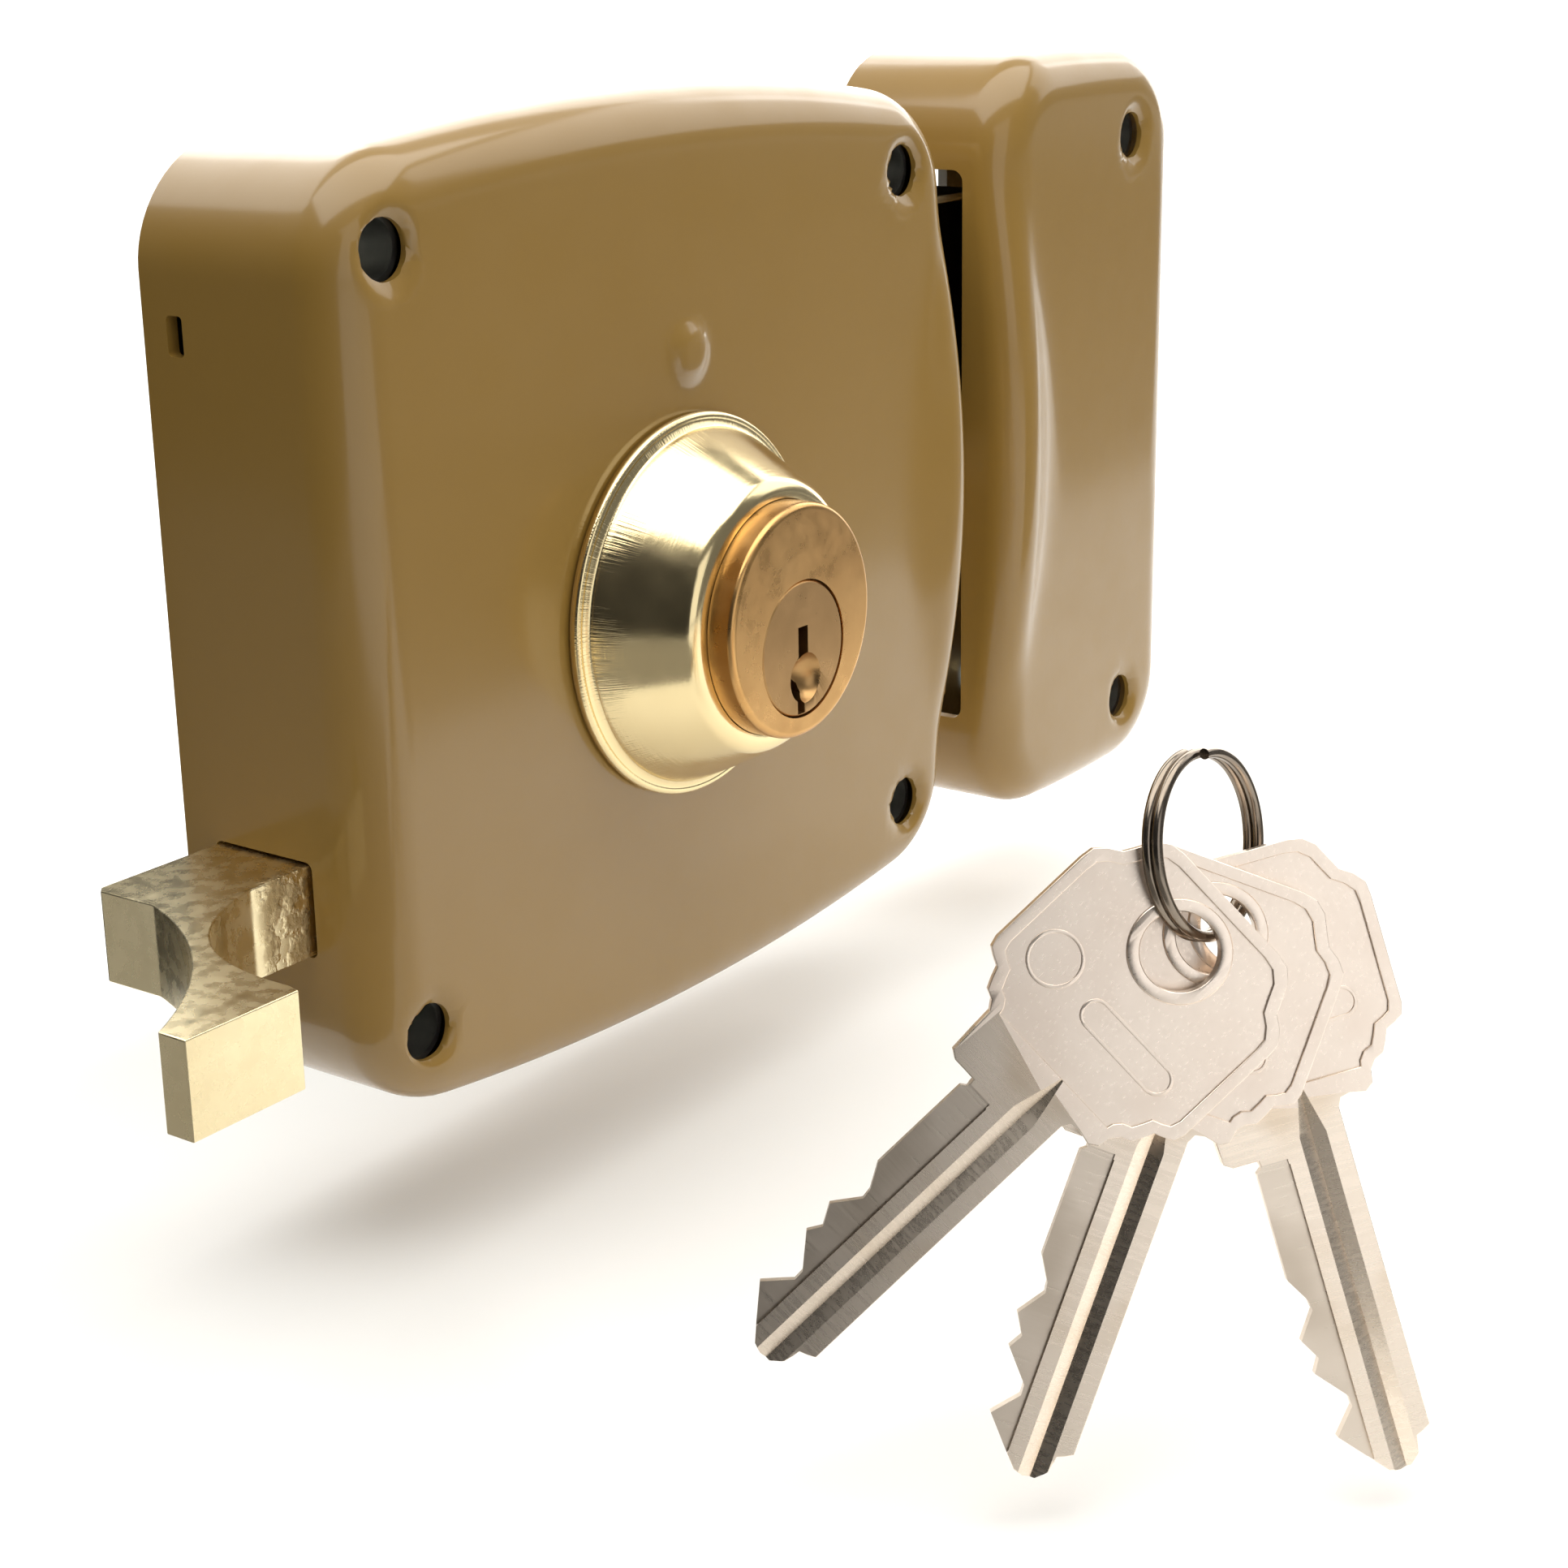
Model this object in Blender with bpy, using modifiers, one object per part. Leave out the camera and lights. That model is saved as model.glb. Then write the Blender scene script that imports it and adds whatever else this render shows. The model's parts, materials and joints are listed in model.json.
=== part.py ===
"""Rim night latch: a case with deadbolt and spring latch, its keeper, two cylinders and three keys.

World axes: +Z up, +X from the case towards the keeper, -Y from the door into the room. The origin is
where the cylinder axis meets the face of the door. Sizes are in millimetres, and MM turns them into metres.
"""

import math

import bmesh
import bpy
from mathutils import Matrix, Vector

MM = 0.001
CLEARANCE = 0.3

# Case and keeper covers: pressed sheet, open towards the door
SHEET = 1.5
CASE_DEPTH = 28.0
EDGE_ROUNDING = 4.0
LIP_CENTRE_Z = 4.5
LIP_HALF_HEIGHT = 41.0
CASE = {
    "centre": (2.75, 4.0),
    "half": (56.75, 54.4),
    "corner": 12.0,
    "bow": 4.7,
    "bulge": 1.7,
    "side": 1,
    "lip_start": 48.3,
    "lip_slope": 0.40,
    "lip_fall": 4.48,
}
KEEPER = {
    "centre": (95.0, 4.9),
    "half": (24.5, 53.3),
    "corner": 13.0,
    "bow": 1.2,
    "bulge": 0.0,
    "side": -1,
    "lip_start": -82.5,
    "lip_slope": 0.37,
    "lip_fall": 4.44,
}
LIP_INSETS = (6.4, 8.6, 10.6, 12.4)
PLATE_INSET = 1.9
PLATE_THICKNESS = 1.5

# Fixing holes, as (x, z)
CASE_HOLES = ((-46.5, 45.5), (46.5, 45.5), (-46.5, -37.4), (46.5, -37.4))
KEEPER_HOLES = ((106.0, 45.6), (106.0, -37.3))
HOLE_RADIUS = 3.2
DISH_RADIUS = 4.75
TUBE_RADIUS = 4.0
TUBE_BORE = 3.1
TUBE_FRONT = -25.4
TUBE_BACK = -1.8

# Cylinders and their plugs, turned about the Y axis
CYLINDER_RADIUS = 13.5
CYLINDER_FACE = 44.0
CYLINDER_REAR = 12.0
PLUG_DROP = 3.2
PLUG_RADIUS = 7.85
PLUG_BORE = 8.1
PLUG_REAR = 12.5
NECK_RADIUS = 4.5
NECK_END = 10.2
KEYWAY_WIDTH = 1.9
KEYWAY_Z = (-10.6, -0.6)
KEY_MOUTH_RADIUS = 3.5
KEY_MOUTH_Z = -6.6
DOOR_THICKNESS = 30.0
OUTSIDE_SHIFT = DOOR_THICKNESS - CASE_DEPTH
SCREW_SPOTS = ((-10.6, 1.0), (10.6, 1.0))
NUT_RADIUS = 18.0
NUT_HEIGHTS = (22.0, 26.2)
SCREW_RADIUS = 2.0
SCREW_BORE = 2.3
SCREW_BORE_ENDS = (-23.0, -11.0)
SCREW_TIP = OUTSIDE_SHIFT + 21.0

# Pin stacks of the inner cylinder
PIN_STATIONS = (-37.5, -33.5, -29.5, -25.5, -21.5)
PIN_RADIUS = 1.4
CHAMBER_RADIUS = 1.7
SHEAR_TOP = 4.3
KEY_PIN_LENGTHS = (3.2, 4.0, 2.8, 3.6, 4.4)
DRIVER_PIN_Z = (5.2, 8.6)
PIN_SPRING_Z = (8.9, 11.5)
STRIP_Z = (12.1, 12.9)

# Bolts
BOLT_Y = (-18.5, -6.3)
DEADBOLT_X = (44.0, 83.0)
DEADBOLT_Z = (6.0, 39.8)
TAIL_Y = (-9.3, -6.6)
LATCH_Z = (-30.0, -3.0)
BAR_Y = (-14.0, -8.0)
BAR_Z = (-28.0, -20.0)
HANDLE_Z = (-28.0, -18.0)
ROD_PLACE = (-12.0, -36.0)
ROD_RADIUS = 1.3
LEVER_PIVOT = (-30.0, 24.0)
TAIL_GUIDE = (12.0, 16.6)
POST_RADIUS = 2.0

# Key ring and keys: they lie in a plane turned about Z and tipped back
RING_CENTRE = (-29.3, -109.2, -5.6)
KEY_PLANE_TURN = -54.3
KEY_PLANE_TIP = 73.1
RING_RADIUS = 8.4
RING_WIRE = 0.8
RING_TWIST = 50.0
KEY_THICKNESS = 2.0
KEY_HOLE_RADIUS = 3.9
KEY_SPACING = 2.6
KEY_PLACES = ((-2.9, -9.5, 1, 47.7), (0.75, -8.2, 0, 21.0), (3.45, -7.5, -1, -15.0))
BLADE_EDGE = 4.1
BLADE_CUT_EDGE = -4.8


def clear_scene():
    for obj in list(bpy.data.objects):
        bpy.data.objects.remove(obj, do_unlink=True)


def new_collection(name):
    group = bpy.data.collections.new(name)
    bpy.context.scene.collection.children.link(group)
    return group


def material(name, colour, roughness, metallic):
    finish = bpy.data.materials.new(name)
    finish.use_nodes = True
    shader = finish.node_tree.nodes["Principled BSDF"]
    shader.inputs["Base Color"].default_value = (*colour, 1.0)
    shader.inputs["Roughness"].default_value = roughness
    shader.inputs["Metallic"].default_value = metallic
    return finish


clear_scene()
PARTS = new_collection("rim_night_latch")
HELPERS = new_collection("helpers")
HELPERS.hide_render = True

PAINT = material("khaki_paint", (0.30, 0.20, 0.075), 0.32, 0.0)
ZINC = material("zinc_steel", (0.55, 0.55, 0.53), 0.4, 1.0)
SATIN_BRASS = material("satin_brass", (0.80, 0.66, 0.34), 0.28, 1.0)
BRASS = material("brass", (0.78, 0.50, 0.22), 0.35, 1.0)
CAST_BRASS = material("cast_brass", (0.80, 0.68, 0.40), 0.4, 1.0)
NICKEL = material("nickel_silver", (0.66, 0.58, 0.50), 0.35, 1.0)
SPRING_STEEL = material("spring_steel", (0.30, 0.27, 0.24), 0.3, 1.0)
DARK_STEEL = material("dark_steel", (0.20, 0.20, 0.20), 0.45, 1.0)


def place_mesh(name, mesh, finish):
    mesh.materials.append(finish)
    mesh.shade_smooth()
    mesh.set_sharp_from_angle(angle=math.radians(35))
    obj = bpy.data.objects.new(name, mesh)
    PARTS.objects.link(obj)
    return obj


def from_bmesh(name, bm, finish):
    mesh = bpy.data.meshes.new(name)
    bm.to_mesh(mesh)
    bm.free()
    return place_mesh(name, mesh, finish)


def bevel(obj, width, segments=2):
    modifier = obj.modifiers.new("edges", "BEVEL")
    modifier.width = width * MM
    modifier.segments = segments
    modifier.limit_method = "ANGLE"
    modifier.angle_limit = math.radians(40)


def block(name, finish, low, high, rounding=0.0):
    """A box between two corners, with rounded edges where rounding is given."""
    size = [(b - a) * MM for a, b in zip(low, high)]
    bm = bmesh.new()
    bmesh.ops.create_cube(bm, size=1.0, matrix=Matrix.Diagonal((*size, 1.0)))
    obj = from_bmesh(name, bm, finish)
    obj.location = [(a + b) / 2 * MM for a, b in zip(low, high)]
    if rounding:
        bevel(obj, rounding)
    return obj


AXIS_TURNS = {"X": (0, math.pi / 2, 0), "Y": (-math.pi / 2, 0, 0), "Z": (0, 0, 0)}


def on_axis(axis, cross, along):
    """The point with this coordinate along an axis and these two across it."""
    place = list(cross)
    place.insert("XYZ".index(axis), along)
    return Vector(place) * MM


def rod(name, finish, axis, cross, radius, start, end, segments=24, end_radius=None):
    """A round bar along an axis, or a cone where the end has a radius of its own."""
    bm = bmesh.new()
    bmesh.ops.create_cone(
        bm,
        cap_ends=True,
        segments=segments,
        radius1=radius * MM,
        radius2=(radius if end_radius is None else end_radius) * MM,
        depth=(end - start) * MM,
    )
    obj = from_bmesh(name, bm, finish)
    obj.rotation_euler = AXIS_TURNS[axis]
    obj.location = on_axis(axis, cross, (start + end) / 2)
    return obj


def turned(name, finish, profile, centre=(0.0, 0.0), steps=48):
    """A shape turned about the Y axis. The profile holds (radius, height above the door) points."""
    closed = profile[0][0] > 0
    edges = [(i, i + 1) for i in range(len(profile) - 1)]
    if closed:
        edges.append((len(profile) - 1, 0))
    mesh = bpy.data.meshes.new(name)
    mesh.from_pydata([(r * MM, 0.0, h * MM) for r, h in profile], edges, [])
    obj = place_mesh(name, mesh, finish)
    obj.rotation_euler = (math.pi / 2, 0, 0)
    obj.location = (centre[0] * MM, 0.0, centre[1] * MM)
    screw = obj.modifiers.new("turn", "SCREW")
    screw.steps = steps
    screw.render_steps = steps
    screw.use_merge_vertices = True
    screw.merge_threshold = 0.00005
    return obj


def made_mesh(obj):
    """The mesh object that stands in for a curve, with its caps welded on."""
    graph = bpy.context.evaluated_depsgraph_get()
    mesh = bpy.data.meshes.new_from_object(obj.evaluated_get(graph))
    bm = bmesh.new()
    bm.from_mesh(mesh)
    bmesh.ops.remove_doubles(bm, verts=bm.verts, dist=0.000001)
    bmesh.ops.recalc_face_normals(bm, faces=bm.faces)
    bm.to_mesh(mesh)
    bm.free()
    name, basis, finish = obj.name, obj.matrix_basis.copy(), obj.data.materials[0]
    bpy.data.objects.remove(obj, do_unlink=True)
    mesh.materials.clear()
    made = place_mesh(name, mesh, finish)
    made.name = name
    made.matrix_basis = basis
    return made


def new_curve(name, finish, dimensions):
    curve = bpy.data.curves.new(name, "CURVE")
    curve.dimensions = dimensions
    curve.materials.append(finish)
    return curve


def add_spline(curve, points, closed):
    spline = curve.splines.new("POLY")
    spline.points.add(len(points) - 1)
    for point, place in zip(spline.points, points):
        place = (*place, 0.0)[:3]
        point.co = (*[value * MM for value in place], 1.0)
    spline.use_cyclic_u = closed


def flat(name, finish, loops, low, high, upright=True):
    """A plate cut to closed outlines. Upright outlines hold (x, z) points and stand on the door; the
    others hold (x, y) points and lie level. Loops after the first are holes."""
    curve = new_curve(name, finish, "2D")
    curve.fill_mode = "BOTH"
    curve.extrude = (high - low) / 2 * MM
    for loop in loops:
        add_spline(curve, loop, True)
    obj = bpy.data.objects.new(name, curve)
    PARTS.objects.link(obj)
    middle = (low + high) / 2 * MM
    if upright:
        obj.rotation_euler = (math.pi / 2, 0, 0)
        obj.location = (0, middle, 0)
    else:
        obj.location = (0, 0, middle)
    return made_mesh(obj)


def wire(name, finish, points, radius, closed=False, resolution=0):
    curve = new_curve(name, finish, "3D")
    curve.bevel_depth = radius * MM
    curve.bevel_resolution = resolution
    curve.use_fill_caps = True
    add_spline(curve, points, closed)
    obj = bpy.data.objects.new(name, curve)
    PARTS.objects.link(obj)
    return obj


def coil(axis, cross, radius, start, end, turns, per_turn=8):
    """Points of a coil about an axis."""
    points = []
    for i in range(turns * per_turn + 1):
        angle = 2 * math.pi * i / per_turn
        along = start + (end - start) * i / (turns * per_turn)
        offset = (cross[0] + radius * math.cos(angle), cross[1] + radius * math.sin(angle))
        points.append(tuple(on_axis(axis, offset, along) / MM))
    return points


def circle(x, z, radius, count=16, start=0.0, sweep=360.0):
    """Points on a circle, or on an arc of it when sweep is below 360 degrees."""
    gaps = count if sweep >= 360.0 else count - 1
    angles = [math.radians(start + sweep * i / gaps) for i in range(count)]
    return [(x + radius * math.cos(a), z + radius * math.sin(a)) for a in angles]


def bezier(start, control, end, count):
    """Points along a quadratic curve, both ends included."""
    points = []
    for i in range(count):
        t = i / (count - 1)
        weights = ((1 - t) ** 2, 2 * t * (1 - t), t * t)
        points.append(tuple(sum(w * p[k] for w, p in zip(weights, (start, control, end))) for k in (0, 1)))
    return points


def as_helper(helper, target):
    """Puts a cutter or a joined shape away from the parts, and ties it to its target."""
    PARTS.objects.unlink(helper)
    HELPERS.objects.link(helper)
    helper.hide_render = True
    helper.display_type = "WIRE"
    helper.parent = target
    helper.matrix_parent_inverse = target.matrix_basis.inverted()


def combine(target, operation, helpers, solver="EXACT"):
    for helper in helpers:
        as_helper(helper, target)
        modifier = target.modifiers.new(helper.name, "BOOLEAN")
        modifier.operation = operation
        modifier.solver = solver
        modifier.object = helper


def cut(target, *helpers, solver="EXACT"):
    combine(target, "DIFFERENCE", helpers, solver)


def join(target, *helpers):
    combine(target, "UNION", helpers)


def ride(pivot, place, *pieces):
    """Hangs pieces on an empty that stands on their joint's axis."""
    empty = bpy.data.objects.new(pivot, None)
    empty.empty_display_size = 0.01
    empty.location = place
    PARTS.objects.link(empty)
    for piece in pieces:
        piece.location = piece.location - empty.location
        piece.parent = empty
    return empty


def outline(shape, inset, arc_steps=5, long_steps=8):
    """A cover's outline, pulled in by inset: a rounded rectangle whose top, bottom and lip side bow out."""
    half_x = shape["half"][0] - inset
    half_z = shape["half"][1] - inset
    corner = max(shape["corner"] - inset, 1.0)
    points = []
    for quarter in range(4):
        sign_x = (1, -1, -1, 1)[quarter]
        sign_z = (1, 1, -1, -1)[quarter]
        centre = (sign_x * (half_x - corner), sign_z * (half_z - corner))
        points += circle(*centre, corner, arc_steps + 1, 90.0 * quarter, 90.0)
        following = (quarter + 1) % 4
        next_centre = (
            (1, -1, -1, 1)[following] * (half_x - corner),
            (1, 1, -1, -1)[following] * (half_z - corner),
        )
        start = points[-1]
        end = circle(*next_centre, corner, 2, 90.0 * following, 90.0)[0]
        for i in range(1, long_steps):
            t = i / long_steps
            points.append((start[0] + (end[0] - start[0]) * t, start[1] + (end[1] - start[1]) * t))
    return [bowed(shape, x, z) for x, z in points]


def bowed(shape, x, z):
    """Moves a point of the rounded rectangle out to the bowed sides, and to the cover's place."""
    across = x / shape["half"][0]
    lip_side = max(0.0, shape["side"] * across) ** 2
    new_x = x - shape["side"] * shape["bulge"] * lip_side * (z / 40.0) ** 2
    new_z = z * (1 - shape["bow"] / shape["half"][1] * across**2)
    return (shape["centre"][0] + new_x, shape["centre"][1] + new_z)


def lip_height(shape, x, z):
    """How far the arched lip beside the gap stands out of the cover's front at this place."""
    rise = shape["lip_slope"] * (shape["side"] * x - shape["lip_start"])
    return max(0.0, rise - shape["lip_fall"] * ((z - LIP_CENTRE_Z) / LIP_HALF_HEIGHT) ** 2)


def cover_rings(shape):
    """The cover's surface as rings of points, from the door plane over the rounding to the front."""
    wall_end = CASE_DEPTH - EDGE_ROUNDING
    steps = [(0.0, 0.0), (0.0, wall_end / 2), (0.0, wall_end)]
    for i in range(1, 5):
        angle = math.radians(22.5 * i)
        steps.append((EDGE_ROUNDING * (1 - math.cos(angle)), wall_end + EDGE_ROUNDING * math.sin(angle)))
    steps += [(inset, CASE_DEPTH) for inset in LIP_INSETS]
    rings = []
    for inset, height in steps:
        ring = []
        for x, z in outline(shape, inset):
            lift = 1 + lip_height(shape, x, z) / CASE_DEPTH
            ring.append(Vector((x, -height * lift, z)) * MM)
        rings.append(ring)
    return rings


def cover(name, shape):
    """A pressed cover: rings bridged into an open surface, then given the sheet's thickness inwards."""
    bm = bmesh.new()
    rings = [[bm.verts.new(point) for point in ring] for ring in cover_rings(shape)]
    count = len(rings[0])
    for lower, upper in zip(rings, rings[1:]):
        for i in range(count):
            j = (i + 1) % count
            bm.faces.new((lower[i], lower[j], upper[j], upper[i]))
    bm.faces.new(rings[-1])
    bmesh.ops.recalc_face_normals(bm, faces=bm.faces)
    front = max(bm.faces, key=lambda face: len(face.verts))
    if front.normal.y > 0:
        bmesh.ops.reverse_faces(bm, faces=bm.faces)
    obj = from_bmesh(name, bm, PAINT)
    solid = obj.modifiers.new("sheet", "SOLIDIFY")
    solid.thickness = SHEET * MM
    solid.offset = -1.0
    solid.use_even_offset = True
    return obj


def screw_holes(target, name, spots):
    """Round fixing holes with a pressed dish around each."""
    for number, spot in enumerate(spots, 1):
        hole = rod(f"{name}_hole_{number}", PAINT, "Y", spot, HOLE_RADIUS, -CASE_DEPTH - 2, -CASE_DEPTH + 4)
        dish = rod(
            f"{name}_dish_{number}",
            PAINT,
            "Y",
            spot,
            DISH_RADIUS + 0.4,
            -CASE_DEPTH - 0.4,
            -CASE_DEPTH + 1.0,
            end_radius=HOLE_RADIUS - 0.3,
        )
        cut(target, hole, dish)


def case_cover():
    obj = cover("case_cover", CASE)
    boss = rod("case_boss", PAINT, "Y", (1.0, 29.0), 3.1, -28.8, -27.2, end_radius=3.6)
    join(obj, boss)
    screw_holes(obj, "case", CASE_HOLES)
    left, right = -54.0, 59.5
    cut(
        obj,
        rod("cylinder_opening", PAINT, "Y", (0, 0), CYLINDER_RADIUS + CLEARANCE, -32, -24, 48),
        block("handle_opening", PAINT, (left - 1, -18.9, -28.4), (left + 3, -4.6, -17.6)),
        block("deadbolt_opening", PAINT, (right - 6, -18.9, 5.6), (right + 1, -5.9, 40.2)),
        block("latch_opening", PAINT, (right - 6, -18.9, -30.4), (right + 1, -5.9, -2.6)),
        block("lanced_slot", PAINT, (left - 1, -5.8, 34.2), (left + 3, -3.5, 38.4)),
    )
    return obj


def keeper_cover():
    obj = cover("keeper_cover", KEEPER)
    screw_holes(obj, "keeper", KEEPER_HOLES)
    cut(obj, block("bolt_opening", PAINT, (69.0, -21.2, -33.0), (74.0, 1.0, 43.3)))
    return obj


def plates():
    holes = [circle(*spot, HOLE_RADIUS) for spot in CASE_HOLES]
    holes += [circle(*spot, SCREW_BORE, 12) for spot in SCREW_SPOTS]
    holes.append(circle(0, -PLUG_DROP, 6.0, 24))
    back = flat("back_plate", ZINC, [outline(CASE, PLATE_INSET), *holes], -PLATE_THICKNESS, 0.0)
    keeper_loops = [outline(KEEPER, PLATE_INSET), *[circle(*spot, HOLE_RADIUS) for spot in KEEPER_HOLES]]
    keeper = flat("keeper_plate", ZINC, keeper_loops, -PLATE_THICKNESS, 0.0)
    cut(keeper, block("keeper_window", ZINC, (70.0, -3.0, -31.5), (98.0, 2.0, 41.0)))
    return back, keeper


def tube(name, spot):
    profile = [
        (TUBE_RADIUS, -TUBE_FRONT),
        (TUBE_RADIUS, -TUBE_BACK),
        (TUBE_BORE, -TUBE_BACK),
        (TUBE_BORE, -TUBE_FRONT),
    ]
    return turned(name, ZINC, profile, spot, 16)


def outside(obj):
    """Turns a copy of an inside piece round to the street side of the door."""
    turn = Matrix.Translation((0, OUTSIDE_SHIFT * MM, 0)) @ Matrix.Rotation(math.pi, 4, "Z")
    obj.matrix_basis = turn @ obj.matrix_basis
    return obj


def same(obj):
    return obj


def rose(name, place):
    """The cone round a cylinder, with a thin rim that lies on the case or the door."""
    profile = [
        (13.8, 40.1),
        (14.3, 40.5),
        (15.4, 40.3),
        (16.2, 39.4),
        (20.6, 30.3),
        (21.0, 29.4),
        (22.3, 29.2),
        (22.4, 28.3),
        (20.4, 28.3),
        (19.4, 29.4),
        (14.9, 38.9),
        (13.8, 39.1),
    ]
    return place(turned(name, SATIN_BRASS, profile, (0, 0), 48))


def cylinder_body(name, place, extras):
    body = place(rod(name, BRASS, "Y", (0, 0), CYLINDER_RADIUS, -CYLINDER_FACE, -CYLINDER_REAR, 48))
    bevel(body, 0.5)
    ends = (-CYLINDER_FACE - 1, -CYLINDER_REAR + 1)
    bore = rod(name + "_bore", BRASS, "Y", (0, -PLUG_DROP), PLUG_BORE, *ends, 32)
    cut(body, place(bore), *[place(extra) for extra in extras])


def plug(name, place):
    profile = [
        (0.0, CYLINDER_FACE),
        (PLUG_RADIUS - 0.3, CYLINDER_FACE),
        (PLUG_RADIUS, CYLINDER_FACE - 0.3),
        (PLUG_RADIUS, PLUG_REAR),
        (NECK_RADIUS, PLUG_REAR),
        (NECK_RADIUS, NECK_END),
        (0.0, NECK_END),
    ]
    obj = place(turned(name, BRASS, profile, (0, -PLUG_DROP), 32))
    half = KEYWAY_WIDTH / 2
    slot = block(name + "_keyway", BRASS, (-half, -46, KEYWAY_Z[0]), (half, -PLUG_REAR - 2, KEYWAY_Z[1]))
    mouth = rod(
        name + "_mouth",
        BRASS,
        "Y",
        (0, KEY_MOUTH_Z),
        KEY_MOUTH_RADIUS + 0.8,
        -CYLINDER_FACE - 0.8,
        -CYLINDER_FACE + 2.4,
        20,
        0.4,
    )
    cut(obj, place(slot), place(mouth))
    return obj


def inner_cylinder():
    """The inner cylinder, its plug, and five pin stacks at the shear line."""
    cutters = [block("strip_groove", BRASS, (-2.6, -39.7, 11.8), (2.6, -19.3, 14.5))]
    for i, y in enumerate(PIN_STATIONS):
        cutters.append(rod(f"body_chamber_{i}", BRASS, "Z", (0, y), CHAMBER_RADIUS, 2, 12, 12))
    cylinder_body("inner_cylinder_body", same, cutters)
    key_plug = plug("inner_plug", same)
    for i, y in enumerate(PIN_STATIONS):
        cut(key_plug, rod(f"plug_chamber_{i}", BRASS, "Z", (0, y), CHAMBER_RADIUS, -2, 6, 12))
    key_pins = []
    for number, (y, length) in enumerate(zip(PIN_STATIONS, KEY_PIN_LENGTHS), 1):
        ends = (SHEAR_TOP - length, SHEAR_TOP)
        key_pins.append(rod(f"key_pin_{number}", BRASS, "Z", (0, y), PIN_RADIUS, *ends, 10))
        rod(f"driver_pin_{number}", BRASS, "Z", (0, y), PIN_RADIUS, *DRIVER_PIN_Z, 10)
        wire(f"pin_spring_{number}", SPRING_STEEL, coil("Z", (0, y), 1.0, *PIN_SPRING_Z, 3, 6), 0.2)
    block("pin_cover_strip", BRASS, (-2.3, -39.4, STRIP_Z[0]), (2.3, -19.6, STRIP_Z[1]))
    nut_bore = CYLINDER_RADIUS + CLEARANCE
    nut = [(NUT_RADIUS, NUT_HEIGHTS[1]), (NUT_RADIUS, NUT_HEIGHTS[0])]
    nut += [(nut_bore, NUT_HEIGHTS[0]), (nut_bore, NUT_HEIGHTS[1])]
    turned("cylinder_nut", ZINC, nut, (0, 0), 36)
    clip = [(6.5, 11.9), (6.5, 10.9), (4.8, 10.9), (4.8, 11.9)]
    plug_clip = turned("plug_clip", SPRING_STEEL, clip, (0, -PLUG_DROP), 24)
    return key_plug, key_pins, plug_clip


def drive_cam():
    """The hub that both plugs turn, with the finger that drives the deadbolt's tail."""
    finger = [(2.5, -14.0), (1.6, -14.1), (-1.6, -14.1), (-2.5, -14.0)]
    hub = circle(0, -PLUG_DROP, 6.0, 19, -60.0, 300.0)
    slot = [(-1.3, -7.2), (1.3, -7.2), (1.3, 0.8), (-1.3, 0.8)]
    return flat("drive_cam", ZINC, [hub + finger[::-1], slot], -9.9, -5.5)


def outer_cylinder():
    bores = []
    for number, (x, z) in enumerate(SCREW_SPOTS, 1):
        bores.append(rod(f"screw_bore_{number}", BRASS, "Y", (x, z), SCREW_BORE, *SCREW_BORE_ENDS, 12))
    cylinder_body("outer_cylinder_body", outside, bores)
    key_plug = plug("outer_plug", outside)
    tail_end = OUTSIDE_SHIFT + NECK_END - CLEARANCE
    tailpiece = block("tailpiece", ZINC, (-0.8, -9.0, -6.7), (0.8, tail_end, 0.3))
    for number, spot in enumerate(SCREW_SPOTS, 1):
        profile = [
            (0.0, 4.2),
            (3.6, 4.2),
            (3.9, 3.6),
            (3.9, 1.8),
            (SCREW_RADIUS, 1.8),
            (SCREW_RADIUS, 1.0 - SCREW_TIP),
            (0.0, -SCREW_TIP),
        ]
        turned(f"cylinder_screw_{number}", ZINC, profile, spot, 12)
    return key_plug, tailpiece


def deadbolt():
    """The bolt's head and, joined to it, the tail plate that the cam works in."""
    head_low = (DEADBOLT_X[0], BOLT_Y[0], DEADBOLT_Z[0])
    head_high = (DEADBOLT_X[1], BOLT_Y[1], DEADBOLT_Z[1])
    head = block("deadbolt", SATIN_BRASS, head_low, head_high, 0.8)
    notches = []
    for x in (5.0, -7.0):
        notches += [(x + 2.5, 8.8), (x + 1.5, 10.4), (x - 1.5, 10.4), (x - 2.5, 8.8)]
    tail_outline = [(47, 8.8), *notches, (-12.5, 8.8), (-12.5, -16), (-18, -16), (-18, 14), (47, 14)]
    join(head, flat("deadbolt_tail", SATIN_BRASS, [tail_outline], *TAIL_Y))
    return head


def stop_lever():
    """The sprung lever that drops behind the tail, on its own post."""
    shape = [
        *circle(*LEVER_PIVOT, 3.8, 9, 70.0, 200.0),
        (-12.0, 16.6),
        (-7.5, 14.5),
        (-4.5, 14.5),
        (-4.5, 17.2),
        (-8.0, 20.0),
    ]
    lever = flat("stop_lever", ZINC, [shape, circle(*LEVER_PIVOT, POST_RADIUS + CLEARANCE)], -9.0, -6.6)
    rod("lever_post", ZINC, "Y", LEVER_PIVOT, POST_RADIUS, -10.0, TUBE_BACK, 16)
    rod("tail_guide_post", ZINC, "Y", TAIL_GUIDE, POST_RADIUS, -10.0, TUBE_BACK, 16)
    turns = coil("Y", LEVER_PIVOT, 2.9, -5.9, -2.5, 3, 8)
    legs = [(-18.0, -5.9, 22.0)] + turns + [(-27.1, -2.5, 34.0)]
    wire("lever_spring", SPRING_STEEL, legs, 0.35)
    return lever


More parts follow.
